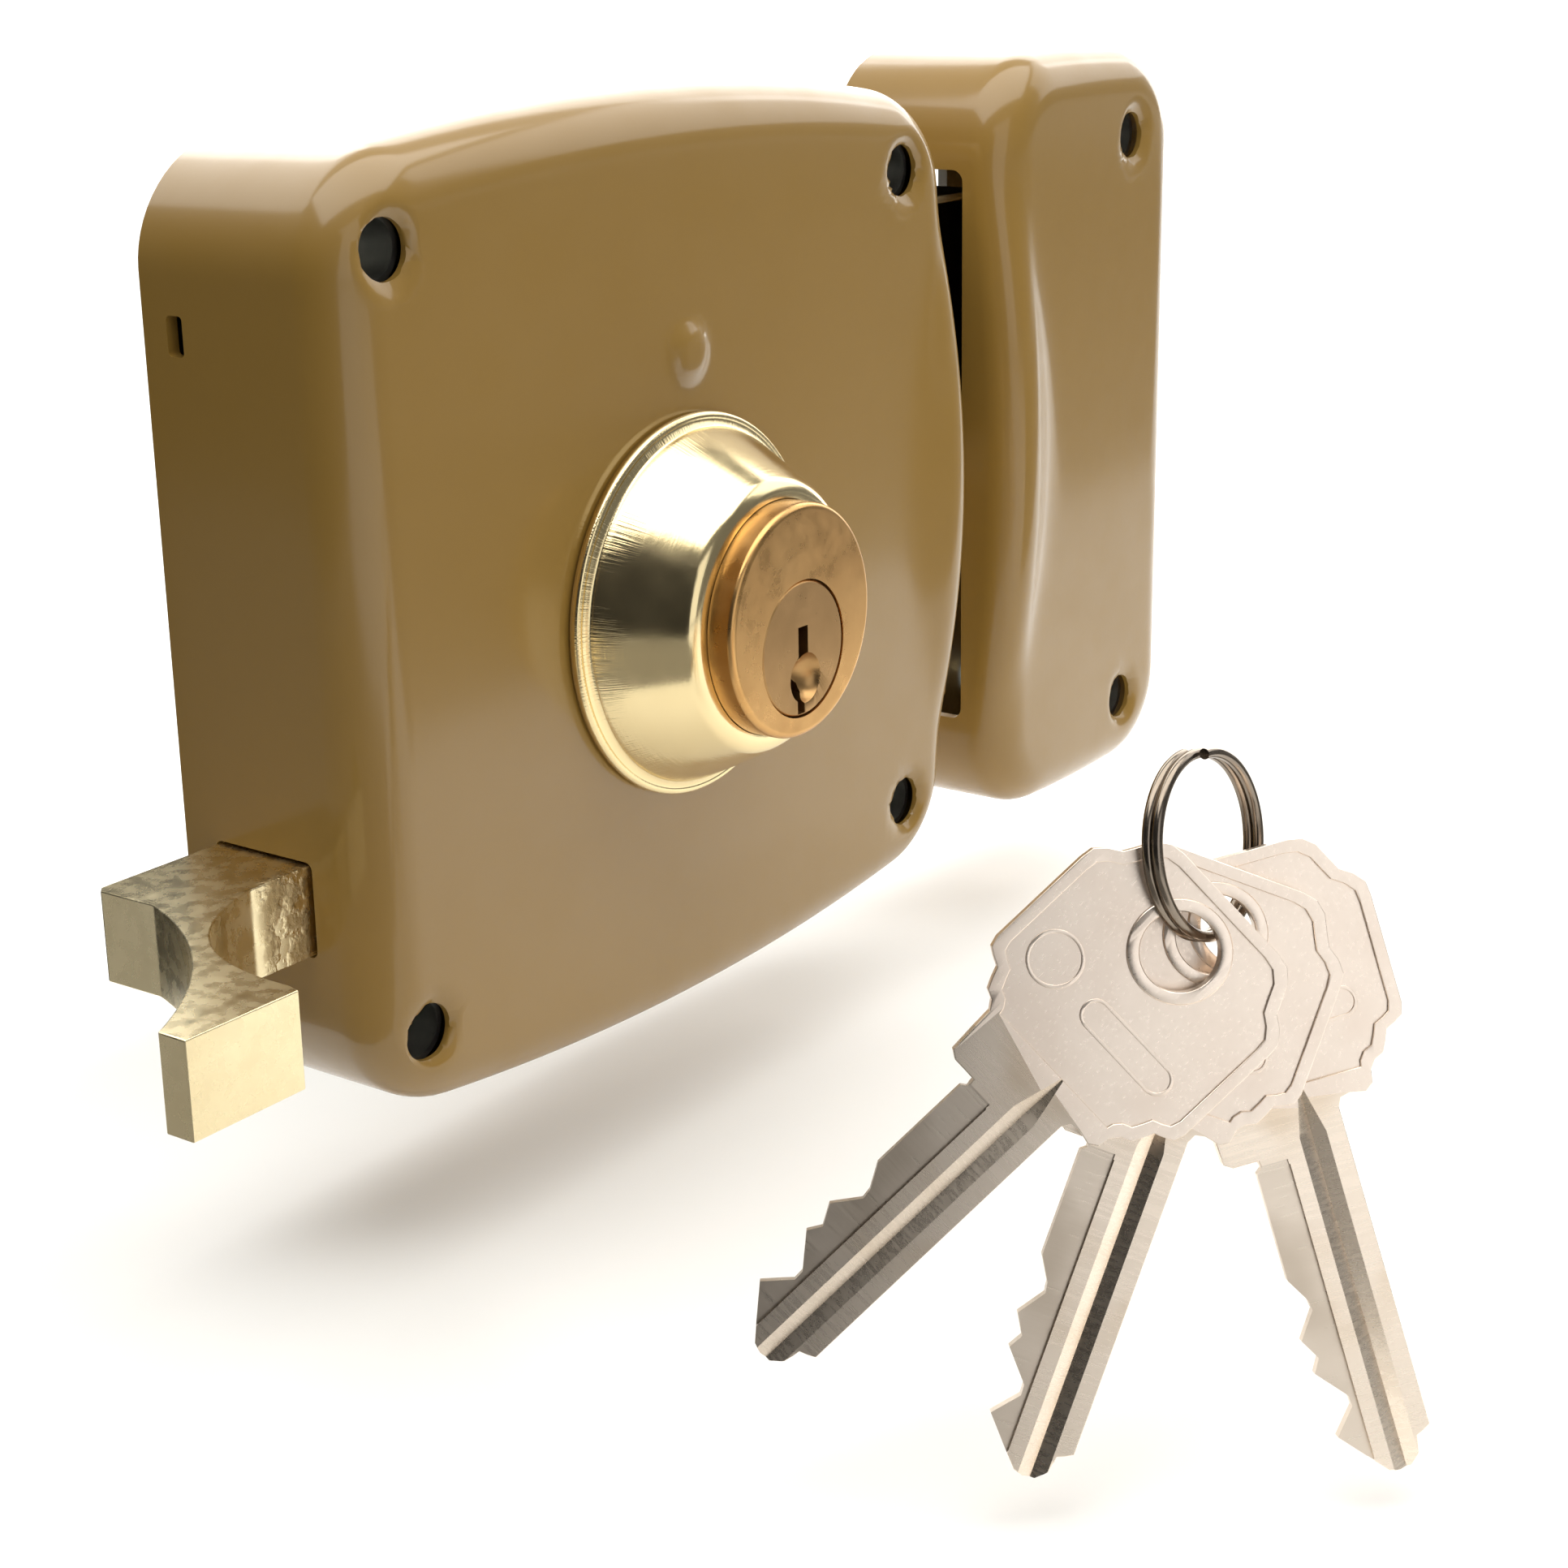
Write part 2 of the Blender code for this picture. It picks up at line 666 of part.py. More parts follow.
def spring_latch():
    """The bevelled latch, the bar that ties it to the handle, and its spring on a guide rod."""
    nose = [(36, -18.5), (71.3, -18.5), (72.5, -17.3), (62.0, -6.3), (36, -6.3)]
    bolt = flat("latch_bolt", SATIN_BRASS, [nose], *LATCH_Z, upright=False)
    bevel(bolt, 0.4, 1)
    bar = block("latch_bar", ZINC, (-37.7, BAR_Y[0], BAR_Z[0]), (35.7, BAR_Y[1], BAR_Z[1]))
    join(bar, block("bar_lug", ZINC, (14.0, -15.5, -41.0), (17.0, -8.5, -27.0)))
    cut(bar, rod("lug_hole", ZINC, "X", ROD_PLACE, ROD_RADIUS + 0.7, 12, 19, 12))
    rod("latch_spring_guide", ZINC, "X", ROD_PLACE, ROD_RADIUS, -38.0, 30.0, 12)
    for name, x in (("spring_bracket_left", -41.0), ("spring_bracket_right", 30.3)):
        block(name, ZINC, (x, -15.0, -40.5), (x + 2.7, TUBE_BACK, -31.0), 0.5)
    wire("latch_spring", SPRING_STEEL, coil("X", ROD_PLACE, 3.4, -37.5, 13.3, 11, 8), 0.5)
    return bolt, bar


def handle():
    """The cast pull: a stem out of the case, a thin neck, and a finger plate facing the room."""
    left_sweep = bezier((-70.9, -13.4), (-76.2, -30.0), (-92.8, -38.5), 9)
    right_sweep = bezier((-78.4, -40.3), (-79.4, -22.7), (-62.0, -18.5), 9)
    plate_face = [(-92.8, -42.0), (-79.4, -42.0)]
    shape = [(-38.0, -5.0), (-71.0, -5.0), *left_sweep, *plate_face, *right_sweep, (-38.0, -18.5)]
    obj = flat("handle", CAST_BRASS, [shape], *HANDLE_Z, upright=False)
    bevel(obj, 0.7)
    return obj


def key_plane(place=(0.0, 0.0, 0.0), turn=0.0):
    """The matrix of a piece in the plane of the keys: X right, Y up and Z towards the viewer."""
    turned_about_z = Matrix.Rotation(math.radians(KEY_PLANE_TURN), 4, "Z")
    tilt = turned_about_z @ Matrix.Rotation(math.radians(KEY_PLANE_TIP), 4, "X")
    local = Matrix.Translation(Vector(place) * MM) @ Matrix.Rotation(math.radians(turn), 4, "Z")
    return Matrix.Translation(Vector(RING_CENTRE) * MM) @ tilt @ local


def bow_half():
    """Half of the bow's outline, from the ring end to the blade, as (along, across) from the hole."""
    ring_end = [(-6.3, 6.6), (-5.9, 8.2), (-2.9, 9.8), (-0.9, 12.1)]
    blade_end = [(11.7, 12.1), (12.6, 10.5), (14.4, 9.7), (15.4, 8.1), (17.3, 7.7)]
    return ring_end + blade_end


def key_outline():
    """The whole key seen from its face: bow, blade with its tip and cuts, and the stop at the shoulder."""
    upper = bow_half() + [(18.4, BLADE_EDGE), (49.0, BLADE_EDGE), (49.6, 2.5), (50.9, 2.5), (52.2, 1.4)]
    tip = [(52.1, -0.5), (50.6, -1.8)]
    cuts = [(47.9, -4.3), (45.4, -2.2), (44.4, -2.3), (41.6, -4.7), (40.3, -3.9), (38.4, -5.1)]
    cuts += [(35.9, -3.3), (35.0, -3.5)]
    shoulder = [(32.8, BLADE_CUT_EDGE), (21.4, BLADE_CUT_EDGE), (21.0, -7.6), (17.6, -7.7)]
    return upper + tip + cuts + shoulder + [(s, -t) for s, t in bow_half()[::-1][1:]]


def key(number, u, v, layer, lean):
    name = f"key_{number}"
    half = KEY_THICKNESS / 2
    hole = circle(0, 0, KEY_HOLE_RADIUS, 20)
    obj = flat(name, NICKEL, [key_outline(), hole], -half, half, upright=False)
    for across, side in ((1.1, 1), (-1.7, -1)):
        groove = rod(f"{name}_groove_{side}", NICKEL, "X", (across, side * (half + 0.5)), 1.1, 16.0, 56.0, 4)
        cut(obj, groove, solver="MANIFOLD")
    obj.matrix_basis = key_plane((u, v, layer * KEY_SPACING), -90.0 - lean)
    return obj


def ring_crossing(layer):
    """Where the ring's wire passes through the key in this layer, in the plane's axes."""
    sine = math.sin(math.radians(RING_TWIST))
    along = -layer * KEY_SPACING / sine
    down = -math.sqrt(RING_RADIUS**2 - along**2)
    return (along * math.cos(math.radians(RING_TWIST)), down, layer * KEY_SPACING)


def keys_on_ring():
    twist = Matrix.Rotation(math.radians(RING_TWIST), 4, "Y")
    ring_points = circle(0, 0, RING_RADIUS, 24)
    ring = wire("key_ring", SPRING_STEEL, ring_points, RING_WIRE, closed=True, resolution=1)
    ring.matrix_basis = key_plane() @ twist
    centre = key_plane().translation
    pieces = [ring]
    for number, place in enumerate(KEY_PLACES, 1):
        one = key(number, *place)
        one_pivot = ride(f"key_{number}_pivot", key_plane(ring_crossing(place[2])).translation, one)
        pieces.append(one_pivot)
    ride("key_ring_pivot", centre, *pieces)


def build():
    case_cover()
    keeper = keeper_cover()
    back_plate, keeper_plate = plates()
    for number, spot in enumerate(CASE_HOLES, 1):
        tube(f"screw_tube_{number}", spot)
    keeper_tubes = [tube(f"keeper_tube_{number}", spot) for number, spot in enumerate(KEEPER_HOLES, 1)]
    rose("inner_rose", same)
    rose("outer_rose", outside)
    inner_plug, key_pins, plug_clip = inner_cylinder()
    outer_plug, tailpiece = outer_cylinder()
    plug_axis = Vector((0, 0, -PLUG_DROP)) * MM
    ride("inner_plug_pivot", plug_axis, inner_plug, plug_clip, drive_cam(), *key_pins)
    ride("outer_plug_pivot", plug_axis, outer_plug, tailpiece)
    ride("deadbolt_pivot", Vector((DEADBOLT_X[0], BOLT_Y[0], DEADBOLT_Z[0])) * MM, deadbolt())
    ride("stop_lever_pivot", Vector((LEVER_PIVOT[0], 0, LEVER_PIVOT[1])) * MM, stop_lever())
    ride("latch_pivot", Vector((0, BAR_Y[0], BAR_Z[0])) * MM, *spring_latch(), handle())
    keeper_centre = Vector((KEEPER["centre"][0], 0, KEEPER["centre"][1])) * MM
    ride("keeper_pivot", keeper_centre, keeper, keeper_plate, *keeper_tubes)
    keys_on_ring()


build()
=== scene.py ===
import json
import math

import bmesh
import bpy
from mathutils import Matrix, Vector


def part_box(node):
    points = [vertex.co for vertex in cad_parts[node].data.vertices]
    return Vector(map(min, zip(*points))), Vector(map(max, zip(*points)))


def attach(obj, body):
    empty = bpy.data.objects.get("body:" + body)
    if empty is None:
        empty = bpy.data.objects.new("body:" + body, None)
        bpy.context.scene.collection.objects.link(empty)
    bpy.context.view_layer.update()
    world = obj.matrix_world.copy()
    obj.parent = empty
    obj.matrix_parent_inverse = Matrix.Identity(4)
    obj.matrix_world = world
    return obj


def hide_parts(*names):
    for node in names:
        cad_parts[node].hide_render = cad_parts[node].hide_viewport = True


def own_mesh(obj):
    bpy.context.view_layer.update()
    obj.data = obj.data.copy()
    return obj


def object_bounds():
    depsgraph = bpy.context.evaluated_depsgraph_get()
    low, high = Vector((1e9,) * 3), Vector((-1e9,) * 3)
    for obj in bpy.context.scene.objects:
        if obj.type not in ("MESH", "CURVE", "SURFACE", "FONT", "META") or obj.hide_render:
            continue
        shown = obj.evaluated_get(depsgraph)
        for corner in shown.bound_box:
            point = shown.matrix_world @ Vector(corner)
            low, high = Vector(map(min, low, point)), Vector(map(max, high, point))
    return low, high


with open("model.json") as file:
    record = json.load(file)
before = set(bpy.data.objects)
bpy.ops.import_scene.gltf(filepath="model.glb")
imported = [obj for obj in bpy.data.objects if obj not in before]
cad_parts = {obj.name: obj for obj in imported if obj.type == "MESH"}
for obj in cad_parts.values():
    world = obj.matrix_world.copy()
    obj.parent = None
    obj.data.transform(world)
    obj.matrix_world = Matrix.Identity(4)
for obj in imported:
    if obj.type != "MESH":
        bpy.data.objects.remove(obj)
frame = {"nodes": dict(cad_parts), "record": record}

CAD_BOX = [list(corner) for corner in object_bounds()]
MM = 0.001
NODES = frame["nodes"]


def corners(node):
    """A node's lowest and highest corners in millimetres."""
    low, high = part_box(node)
    return [value / MM for value in low], [value / MM for value in high]


# ---------------------------------------------------------------- shader building

class Look:
    """A Principled material and short ways to wire its nodes."""

    def __init__(self, name, colour, roughness, metallic=0.0):
        self.material = bpy.data.materials.new(name)
        self.material.use_nodes = True
        self.tree = self.material.node_tree
        self.shader = self.tree.nodes["Principled BSDF"]
        self.set("Base Color", (*colour, 1.0))
        self.set("Roughness", roughness)
        self.set("Metallic", metallic)

    def set(self, socket, value):
        self.shader.inputs[socket].default_value = value

    def node(self, kind, **settings):
        node = self.tree.nodes.new(kind)
        for name, value in settings.items():
            setattr(node, name, value)
        return node

    def feed(self, socket, value):
        if isinstance(value, bpy.types.NodeSocket):
            self.tree.links.new(value, socket)
        else:
            socket.default_value = value

    def place(self):
        return self.node("ShaderNodeTexCoord").outputs["Object"]

    def stretched(self, scale):
        mapping = self.node("ShaderNodeMapping")
        self.feed(mapping.inputs["Vector"], self.place())
        mapping.inputs["Scale"].default_value = scale
        return mapping.outputs["Vector"]

    def noise(self, scale, detail=2.0, vector=None, roughness=0.5):
        node = self.node("ShaderNodeTexNoise")
        self.feed(node.inputs["Vector"], vector or self.place())
        node.inputs["Scale"].default_value = scale
        node.inputs["Detail"].default_value = detail
        node.inputs["Roughness"].default_value = roughness
        return node.outputs["Fac"]

    def math(self, operation, first, second=0.0):
        node = self.node("ShaderNodeMath", operation=operation)
        self.feed(node.inputs[0], first)
        self.feed(node.inputs[1], second)
        return node.outputs[0]

    def times(self, first, second):
        return self.math("MULTIPLY", first, second)

    def spread(self, value, from_low, from_high, to_low, to_high, smooth=False):
        node = self.node("ShaderNodeMapRange")
        if smooth:
            node.interpolation_type = "SMOOTHSTEP"
        self.feed(node.inputs["Value"], value)
        names = ("From Min", "From Max", "To Min", "To Max")
        for name, number in zip(names, (from_low, from_high, to_low, to_high)):
            node.inputs[name].default_value = number
        return node.outputs["Result"]

    def mix(self, amount, first, second):
        node = self.node("ShaderNodeMix", data_type="RGBA")
        self.feed(node.inputs["Factor"], amount)
        self.feed(node.inputs["A"], first)
        self.feed(node.inputs["B"], second)
        return node.outputs["Result"]

    def colour(self, value):
        self.feed(self.shader.inputs["Base Color"], value)

    def rough(self, value):
        self.feed(self.shader.inputs["Roughness"], value)

    def bump(self, height, strength, distance):
        node = self.node("ShaderNodeBump")
        previous = self.shader.inputs["Normal"].links
        if previous:
            self.feed(node.inputs["Normal"], previous[0].from_socket)
        node.inputs["Strength"].default_value = strength
        node.inputs["Distance"].default_value = distance
        self.feed(node.inputs["Height"], height)
        self.feed(self.shader.inputs["Normal"], node.outputs["Normal"])

    def axes(self, centre):
        """Distances from a point: across, along the depth, and up."""
        split = self.node("ShaderNodeSeparateXYZ")
        self.feed(split.inputs[0], self.place())
        return [self.math("SUBTRACT", split.outputs[i], centre[i]) for i in range(3)]

    def polar(self, centre):
        """Radius and angle about an axis that runs along Y, and the depth."""
        x, y, z = self.axes(centre)
        squares = self.math("ADD", self.times(x, x), self.times(z, z))
        return self.math("SQRT", squares), self.math("ARCTAN2", z, x), y

    def joined(self, x, y, z):
        node = self.node("ShaderNodeCombineXYZ")
        for socket, value in zip(node.inputs, (x, y, z)):
            self.feed(socket, value)
        return node.outputs[0]


def rgba(colour):
    return (*colour, 1.0)


def toned(colour, tone):
    return tuple(value * tone for value in colour)


def khaki_paint():
    look = Look("khaki_enamel", (0.31, 0.180, 0.036), 0.42)
    look.set("Coat Weight", 0.85)
    look.set("Specular IOR Level", 0.3)
    look.set("Coat Roughness", 0.14)
    drift = look.noise(28.0, 3.0)
    look.colour(look.mix(drift, rgba((0.300, 0.174, 0.034)), rgba((0.320, 0.188, 0.039))))
    look.rough(look.spread(look.noise(160.0, 4.0), 0.3, 0.7, 0.36, 0.48))
    look.bump(look.noise(55.0, 1.0), 0.10, 0.0006)
    look.bump(look.noise(900.0, 2.0), 0.05, 0.0002)
    return look.material


def spun_brass(name, centre):
    """Satin plate with fine rings from the lathe and short marks across them near the rim."""
    look = Look(name, (0.86, 0.72, 0.42), 0.24, 1.0)
    radius, angle, depth = look.polar(centre)
    rings = look.noise(1.0, 3.0, look.joined(look.times(radius, 5200.0), look.times(angle, 0.6), 0.0))
    marks = look.noise(1.0, 2.0, look.joined(look.times(angle, 110.0), look.times(depth, 160.0), 0.0))
    near_rim = look.spread(radius, 0.0185, 0.0205, 0.0, 1.0, True)
    look.colour(look.mix(look.noise(90.0, 4.0), rgba((0.82, 0.66, 0.36)), rgba((0.92, 0.77, 0.45))))
    look.rough(look.spread(look.noise(240.0, 5.0), 0.3, 0.75, 0.13, 0.23))
    look.bump(rings, 0.16, 0.00005)
    look.bump(look.times(marks, near_rim), 0.35, 0.00012)
    look.bump(look.noise(2600.0, 3.0), 0.12, 0.00004)
    return look.material


def machined_brass(name, centre, colour, darker, roughness):
    look = Look(name, colour, roughness, 1.0)
    radius, angle, depth = look.polar(centre)
    lathe = look.joined(look.times(radius, 3800.0), look.times(angle, 0.8), look.times(depth, 900.0))
    rings = look.noise(1.0, 2.0, lathe)
    tarnish = look.spread(look.noise(130.0, 5.0), 0.35, 0.7, 0.0, 1.0)
    look.colour(look.mix(tarnish, rgba(colour), rgba(darker)))
    look.rough(look.spread(look.noise(420.0, 4.0), 0.3, 0.7, roughness - 0.07, roughness + 0.09))
    look.bump(rings, 0.12, 0.00004)
    return look.material


def cast_brass(stem_low, stem_high):
    """Tumbled casting: pale and softly uneven, with a raw torn patch on the stem beside the case."""
    look = Look("cast_brass", (0.86, 0.76, 0.50), 0.33, 1.0)
    x, y, _ = look.axes((0.0, 0.0, 0.0))
    from_left = look.spread(x, stem_low, stem_low + 0.003, 0.0, 1.0, True)
    to_right = look.spread(x, stem_high - 0.0012, stem_high, 1.0, 0.0, True)
    on_front = look.spread(y, -0.0170, -0.0182, 0.0, 1.0)
    ragged = look.spread(look.noise(420.0, 4.0), 0.38, 0.55, 0.0, 1.0)
    raw = look.times(look.times(look.times(from_left, to_right), on_front), ragged)
    unevenness = look.spread(look.noise(90.0, 3.0), 0.35, 0.72, 0.0, 1.0)
    tone = look.mix(unevenness, rgba((0.95, 0.83, 0.54)), rgba((0.87, 0.74, 0.46)))
    look.colour(look.mix(raw, tone, rgba((0.60, 0.46, 0.24))))
    look.rough(look.spread(look.noise(500.0, 6.0), 0.3, 0.7, 0.20, 0.34))
    look.bump(look.noise(1300.0, 4.0), 0.10, 0.00006)
    look.bump(look.noise(110.0, 1.0), 0.06, 0.0003)
    look.bump(look.times(look.noise(1500.0, 6.0, roughness=0.7), raw), 0.6, 0.0004)
    return look.material


def nickel(name, colour, darker, roughness, scale, brushing):
    """Plated brass: fine brushing, faint stains, and a little wear in the plate's shine."""
    look = Look(name, colour, roughness, 1.0)
    grain = look.noise(1.0, 2.0, look.stretched(scale))
    stains = look.spread(look.noise(95.0, 2.0), 0.45, 0.72, 0.0, 1.0, True)
    look.colour(look.mix(stains, rgba(colour), rgba(darker)))
    look.rough(look.spread(grain, 0.3, 0.7, roughness - 0.03, roughness + 0.04))
    look.bump(grain, brushing, 0.00003)
    return look.material


def zinc():
    look = Look("zinc_plate", (0.50, 0.50, 0.47), 0.38, 1.0)
    clouds = look.spread(look.noise(220.0, 6.0), 0.35, 0.7, 0.0, 1.0)
    look.colour(look.mix(clouds, rgba((0.56, 0.555, 0.52)), rgba((0.42, 0.425, 0.40))))
    look.rough(look.spread(look.noise(500.0, 4.0), 0.3, 0.7, 0.30, 0.48))
    look.bump(look.noise(1.0, 3.0, look.stretched((120.0, 900.0, 2400.0))), 0.15, 0.00006)
    return look.material


def drawn_wire(name, colour):
    look = Look(name, colour, 0.2, 1.0)
    look.colour(look.mix(look.noise(300.0, 4.0), rgba(colour), rgba(toned(colour, 0.72))))
    look.rough(look.spread(look.noise(700.0, 4.0), 0.3, 0.7, 0.13, 0.28))
    look.bump(look.noise(1800.0, 2.0), 0.06, 0.00004)
    return look.material


PLUG_CENTRE = [sum(pair) / 2 for pair in zip(*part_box("inner_plug"))]
CYLINDER_CENTRE = [sum(pair) / 2 for pair in zip(*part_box("inner_cylinder_body"))]
STEM_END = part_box("case_cover")[0][0]

PAINT = khaki_paint()
ROSE_BRASS = spun_brass("spun_brass", CYLINDER_CENTRE)
CYLINDER_TONES = ((0.66, 0.39, 0.150), (0.58, 0.33, 0.120))
CYLINDER_BRASS = machined_brass("machined_brass", CYLINDER_CENTRE, *CYLINDER_TONES, 0.30)
PLUG_BRASS = machined_brass("plug_brass", PLUG_CENTRE, (0.46, 0.275, 0.115), (0.38, 0.225, 0.090), 0.33)
HANDLE_BRASS = cast_brass(STEM_END - 0.0085, STEM_END)
BOLT_BRASS = machined_brass("bolt_brass", CYLINDER_CENTRE, (0.66, 0.54, 0.32), (0.55, 0.44, 0.25), 0.38)
BOW_GRAIN = (2600.0, 4200.0, 2600.0)
BOW_NICKEL = nickel("nickel_bow", (1.0, 0.87, 0.75), (0.95, 0.81, 0.69), 0.30, BOW_GRAIN, 0.02)
# Painted shade: each key's blade and flank colours are darkened by its own factor for how light falls
# on that key's tilt, key 1 darkest.
KEY_SHADE_TONES = (0.66, 0.93, 1.0)
ACROSS_BLADE = (3200.0, 180.0, 1500.0)
ACROSS_FLANK = (3200.0, 150.0, 1500.0)


BLADE_NICKEL = []
FLANK_NICKEL = []
# Lit and shaded copies of one nickel, one pair per key: the tone is painted shade.
for key, tone in enumerate(KEY_SHADE_TONES, 1):
    bright, stained = toned((0.98, 0.85, 0.71), tone), toned((0.86, 0.71, 0.55), tone)
    BLADE_NICKEL.append(nickel(f"nickel_blade_{key}", bright, stained, 0.27, ACROSS_BLADE, 0.012))
    bright, stained = toned((0.84, 0.73, 0.61), tone), toned((0.66, 0.56, 0.45), tone)
    FLANK_NICKEL.append(nickel(f"nickel_flank_{key}", bright, stained, 0.30, ACROSS_FLANK, 0.20))
ZINC = zinc()
RING_WIRE = drawn_wire("ring_wire", (0.30, 0.25, 0.20))
SPRING_WIRE = drawn_wire("spring_wire", (0.34, 0.33, 0.32))


# ---------------------------------------------------------------- mesh building

def finish_piece(obj, material, body, nodes=(), sharp=30.0):
    """Gives a new piece its material, smooth shading, its body and the nodes it stands for."""
    if material is not None:
        obj.data.materials.clear()
        obj.data.materials.append(material)
    if obj.type == "MESH":
        obj.data.shade_smooth()
        obj.data.set_sharp_from_angle(angle=math.radians(sharp))
        normals = obj.modifiers.new("normals", "WEIGHTED_NORMAL")
        normals.keep_sharp = True
    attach(obj, body)
    for node in nodes:
        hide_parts(node)
    return obj


def mesh_object(name, mesh):
    obj = bpy.data.objects.new(name, mesh)
    bpy.context.scene.collection.objects.link(obj)
    return obj


def from_bmesh(name, bm):
    mesh = bpy.data.meshes.new(name)
    bm.to_mesh(mesh)
    bm.free()
    return mesh_object(name, mesh)


def applied(obj):
    """Applies the object's modifiers and transform, or makes a curve a mesh, with its seams welded."""
    bpy.context.view_layer.update()
    graph = bpy.context.evaluated_depsgraph_get()
    mesh = bpy.data.meshes.new_from_object(obj.evaluated_get(graph))
    mesh.transform(obj.matrix_world)
    bm = bmesh.new()
    bm.from_mesh(mesh)
    bmesh.ops.remove_doubles(bm, verts=bm.verts, dist=0.000002)
    bm.to_mesh(mesh)
    bm.free()
    name = obj.name
    bpy.data.objects.remove(obj, do_unlink=True)
    made = mesh_object(name, mesh)
    made.name = name
    return made


def combined(target, operation, tools, solver="EXACT"):
    for tool in tools:
        modifier = target.modifiers.new("shape", "BOOLEAN")
        modifier.operation = operation
        modifier.solver = solver
        modifier.object = tool
    made = applied(target)
    for tool in tools:
        bpy.data.objects.remove(tool, do_unlink=True)
    return made


def rounded(obj, width, segments=3, angle=35.0):
    modifier = obj.modifiers.new("edges", "BEVEL")
    modifier.width = width * MM
    modifier.segments = segments
    modifier.limit_method = "ANGLE"
    modifier.angle_limit = math.radians(angle)
    modifier.harden_normals = False
    return applied(obj)


def block(name, low, high):
    bm = bmesh.new()
    size = [(b - a) * MM for a, b in zip(low, high)]
    middle = [(a + b) / 2 * MM for a, b in zip(low, high)]
    matrix = Matrix.Translation(middle) @ Matrix.Diagonal((*size, 1.0))
    bmesh.ops.create_cube(bm, size=1.0, matrix=matrix)
    return from_bmesh(name, bm)


UPRIGHT = Matrix.Rotation(math.pi / 2, 4, "X")
AXIS_TURNS = {"X": Matrix.Rotation(math.pi / 2, 4, "Y"), "Y": Matrix.Rotation(-math.pi / 2, 4, "X")}


def rod(name, axis, centre, radius, start, end, segments=48, end_radius=None):
    """A round bar or cone along X or Y. The centre holds the two other coordinates, in order."""
    place = list(centre)
    place.insert("XYZ".index(axis), (start + end) / 2)
    matrix = Matrix.Translation(Vector(place) * MM) @ AXIS_TURNS[axis]
    bm = bmesh.new()
    second = radius if end_radius is None else end_radius
    sizes = {"radius1": radius * MM, "radius2": second * MM, "depth": (end - start) * MM}
    bmesh.ops.create_cone(bm, cap_ends=True, segments=segments, matrix=matrix, **sizes)
    return from_bmesh(name, bm)


def turned(name, profile, centre=(0.0, 0.0), steps=160):
    """A shape turned about Y from (radius, height above the door) points.

    The profile is closed where it doesn't start on the axis."""
    closed = profile[0][0] > 0
    edges = [(i, i + 1) for i in range(len(profile) - 1)]
    if closed:
        edges.append((len(profile) - 1, 0))
    mesh = bpy.data.meshes.new(name)
    mesh.from_pydata([(r * MM, 0.0, h * MM) for r, h in profile], edges, [])
    obj = mesh_object(name, mesh)
    obj.matrix_world = Matrix.Translation((centre[0] * MM, 0.0, centre[1] * MM)) @ UPRIGHT
    screw = obj.modifiers.new("turn", "SCREW")
    screw.steps = steps
    screw.render_steps = steps
    screw.use_merge_vertices = True
    screw.merge_threshold = 0.00001
    return applied(obj)


def arc(centre, radius, start, end, count):
    """Points on an arc between two angles in degrees."""
    points = []
    for i in range(count):
        angle = math.radians(start + (end - start) * i / (count - 1))
        points.append((centre[0] + radius * math.cos(angle), centre[1] + radius * math.sin(angle)))
    return points


def circle(x, z, radius, count=64):
    return arc((x, z), radius, 0.0, 360.0 * (count - 1) / count, count)


def flat(name, loops, low, high, matrix, edge=0.0):
    """A plate cut to closed outlines, between two heights of its own plane, with rounded edges."""
    curve = bpy.data.curves.new(name, "CURVE")
    curve.dimensions = "2D"
    curve.fill_mode = "BOTH"
    curve.extrude = ((high - low) / 2 - edge) * MM
    curve.bevel_depth = edge * MM
    curve.bevel_resolution = 2
    curve.offset = -edge * MM
    for loop in loops:
        spline = curve.splines.new("POLY")
        spline.points.add(len(loop) - 1)
        for point, (a, b) in zip(spline.points, loop):
            point.co = (a * MM, b * MM, 0.0, 1.0)
        spline.use_cyclic_u = True
    obj = mesh_object(name, curve)
    obj.matrix_world = matrix @ Matrix.Translation((0, 0, (low + high) / 2 * MM))
    return applied(obj)


def wire(name, points, radius):
    curve = bpy.data.curves.new(name, "CURVE")
    curve.dimensions = "3D"
    curve.bevel_depth = radius * MM
    curve.bevel_resolution = 6
    curve.use_fill_caps = True
    spline = curve.splines.new("POLY")
    spline.points.add(len(points) - 1)
    for point, place in zip(spline.points, points):
        point.co = (*[value * MM for value in place], 1.0)
    return applied(mesh_object(name, curve))


def smooth_step(low, high, value):
    t = min(max((value - low) / (high - low), 0.0), 1.0)
    return t * t * (3 - 2 * t)


# ---------------------------------------------------------------- pressed covers

SHEET = 1.5
DEPTH = 28.0
EDGE = 6.4
LIP_CENTRE_Z = 4.5
LIP_HALF = 41.0


def shape_of(node, corner, bow, bulge, side, lip_run, slope, fall):
    """A cover's sizes: its box from the frame, and how its outline and its arched lip bend."""
    low, high = corners(node)
    edge = high[0] if side > 0 else low[0]
    return {
        "centre": ((low[0] + high[0]) / 2, (low[2] + high[2]) / 2),
        "half": ((high[0] - low[0]) / 2, (high[2] - low[2]) / 2),
        "corner": corner,
        "bow": bow,
        "bulge": bulge,
        "side": side,
        "lip_start": side * edge - lip_run,
        "slope": slope,
        "fall": fall,
    }


CASE = shape_of("case_cover", 12.0, 4.7, 1.7, 1, 11.2, 0.40, 4.48)
KEEPER = shape_of("keeper_cover", 13.0, 1.2, 0.0, -1, 12.0, 0.37, 4.44)
CASE_HOLES = [(-46.5, 45.5), (46.5, 45.5), (-46.5, -37.4), (46.5, -37.4)]
KEEPER_HOLES = [(106.0, 45.6), (106.0, -37.3)]
HOLE_RADIUS = 3.2
KEEPER_POCKET = (-33.0, 43.3)
DISH_RADIUS = 5.0
DISH_DEPTH = 1.2
BOSS = (1.0, 29.0)
PLUG_DROP = 3.2
SCREW_X = (-10.6, 10.6)
SCREW_Z = 1.0


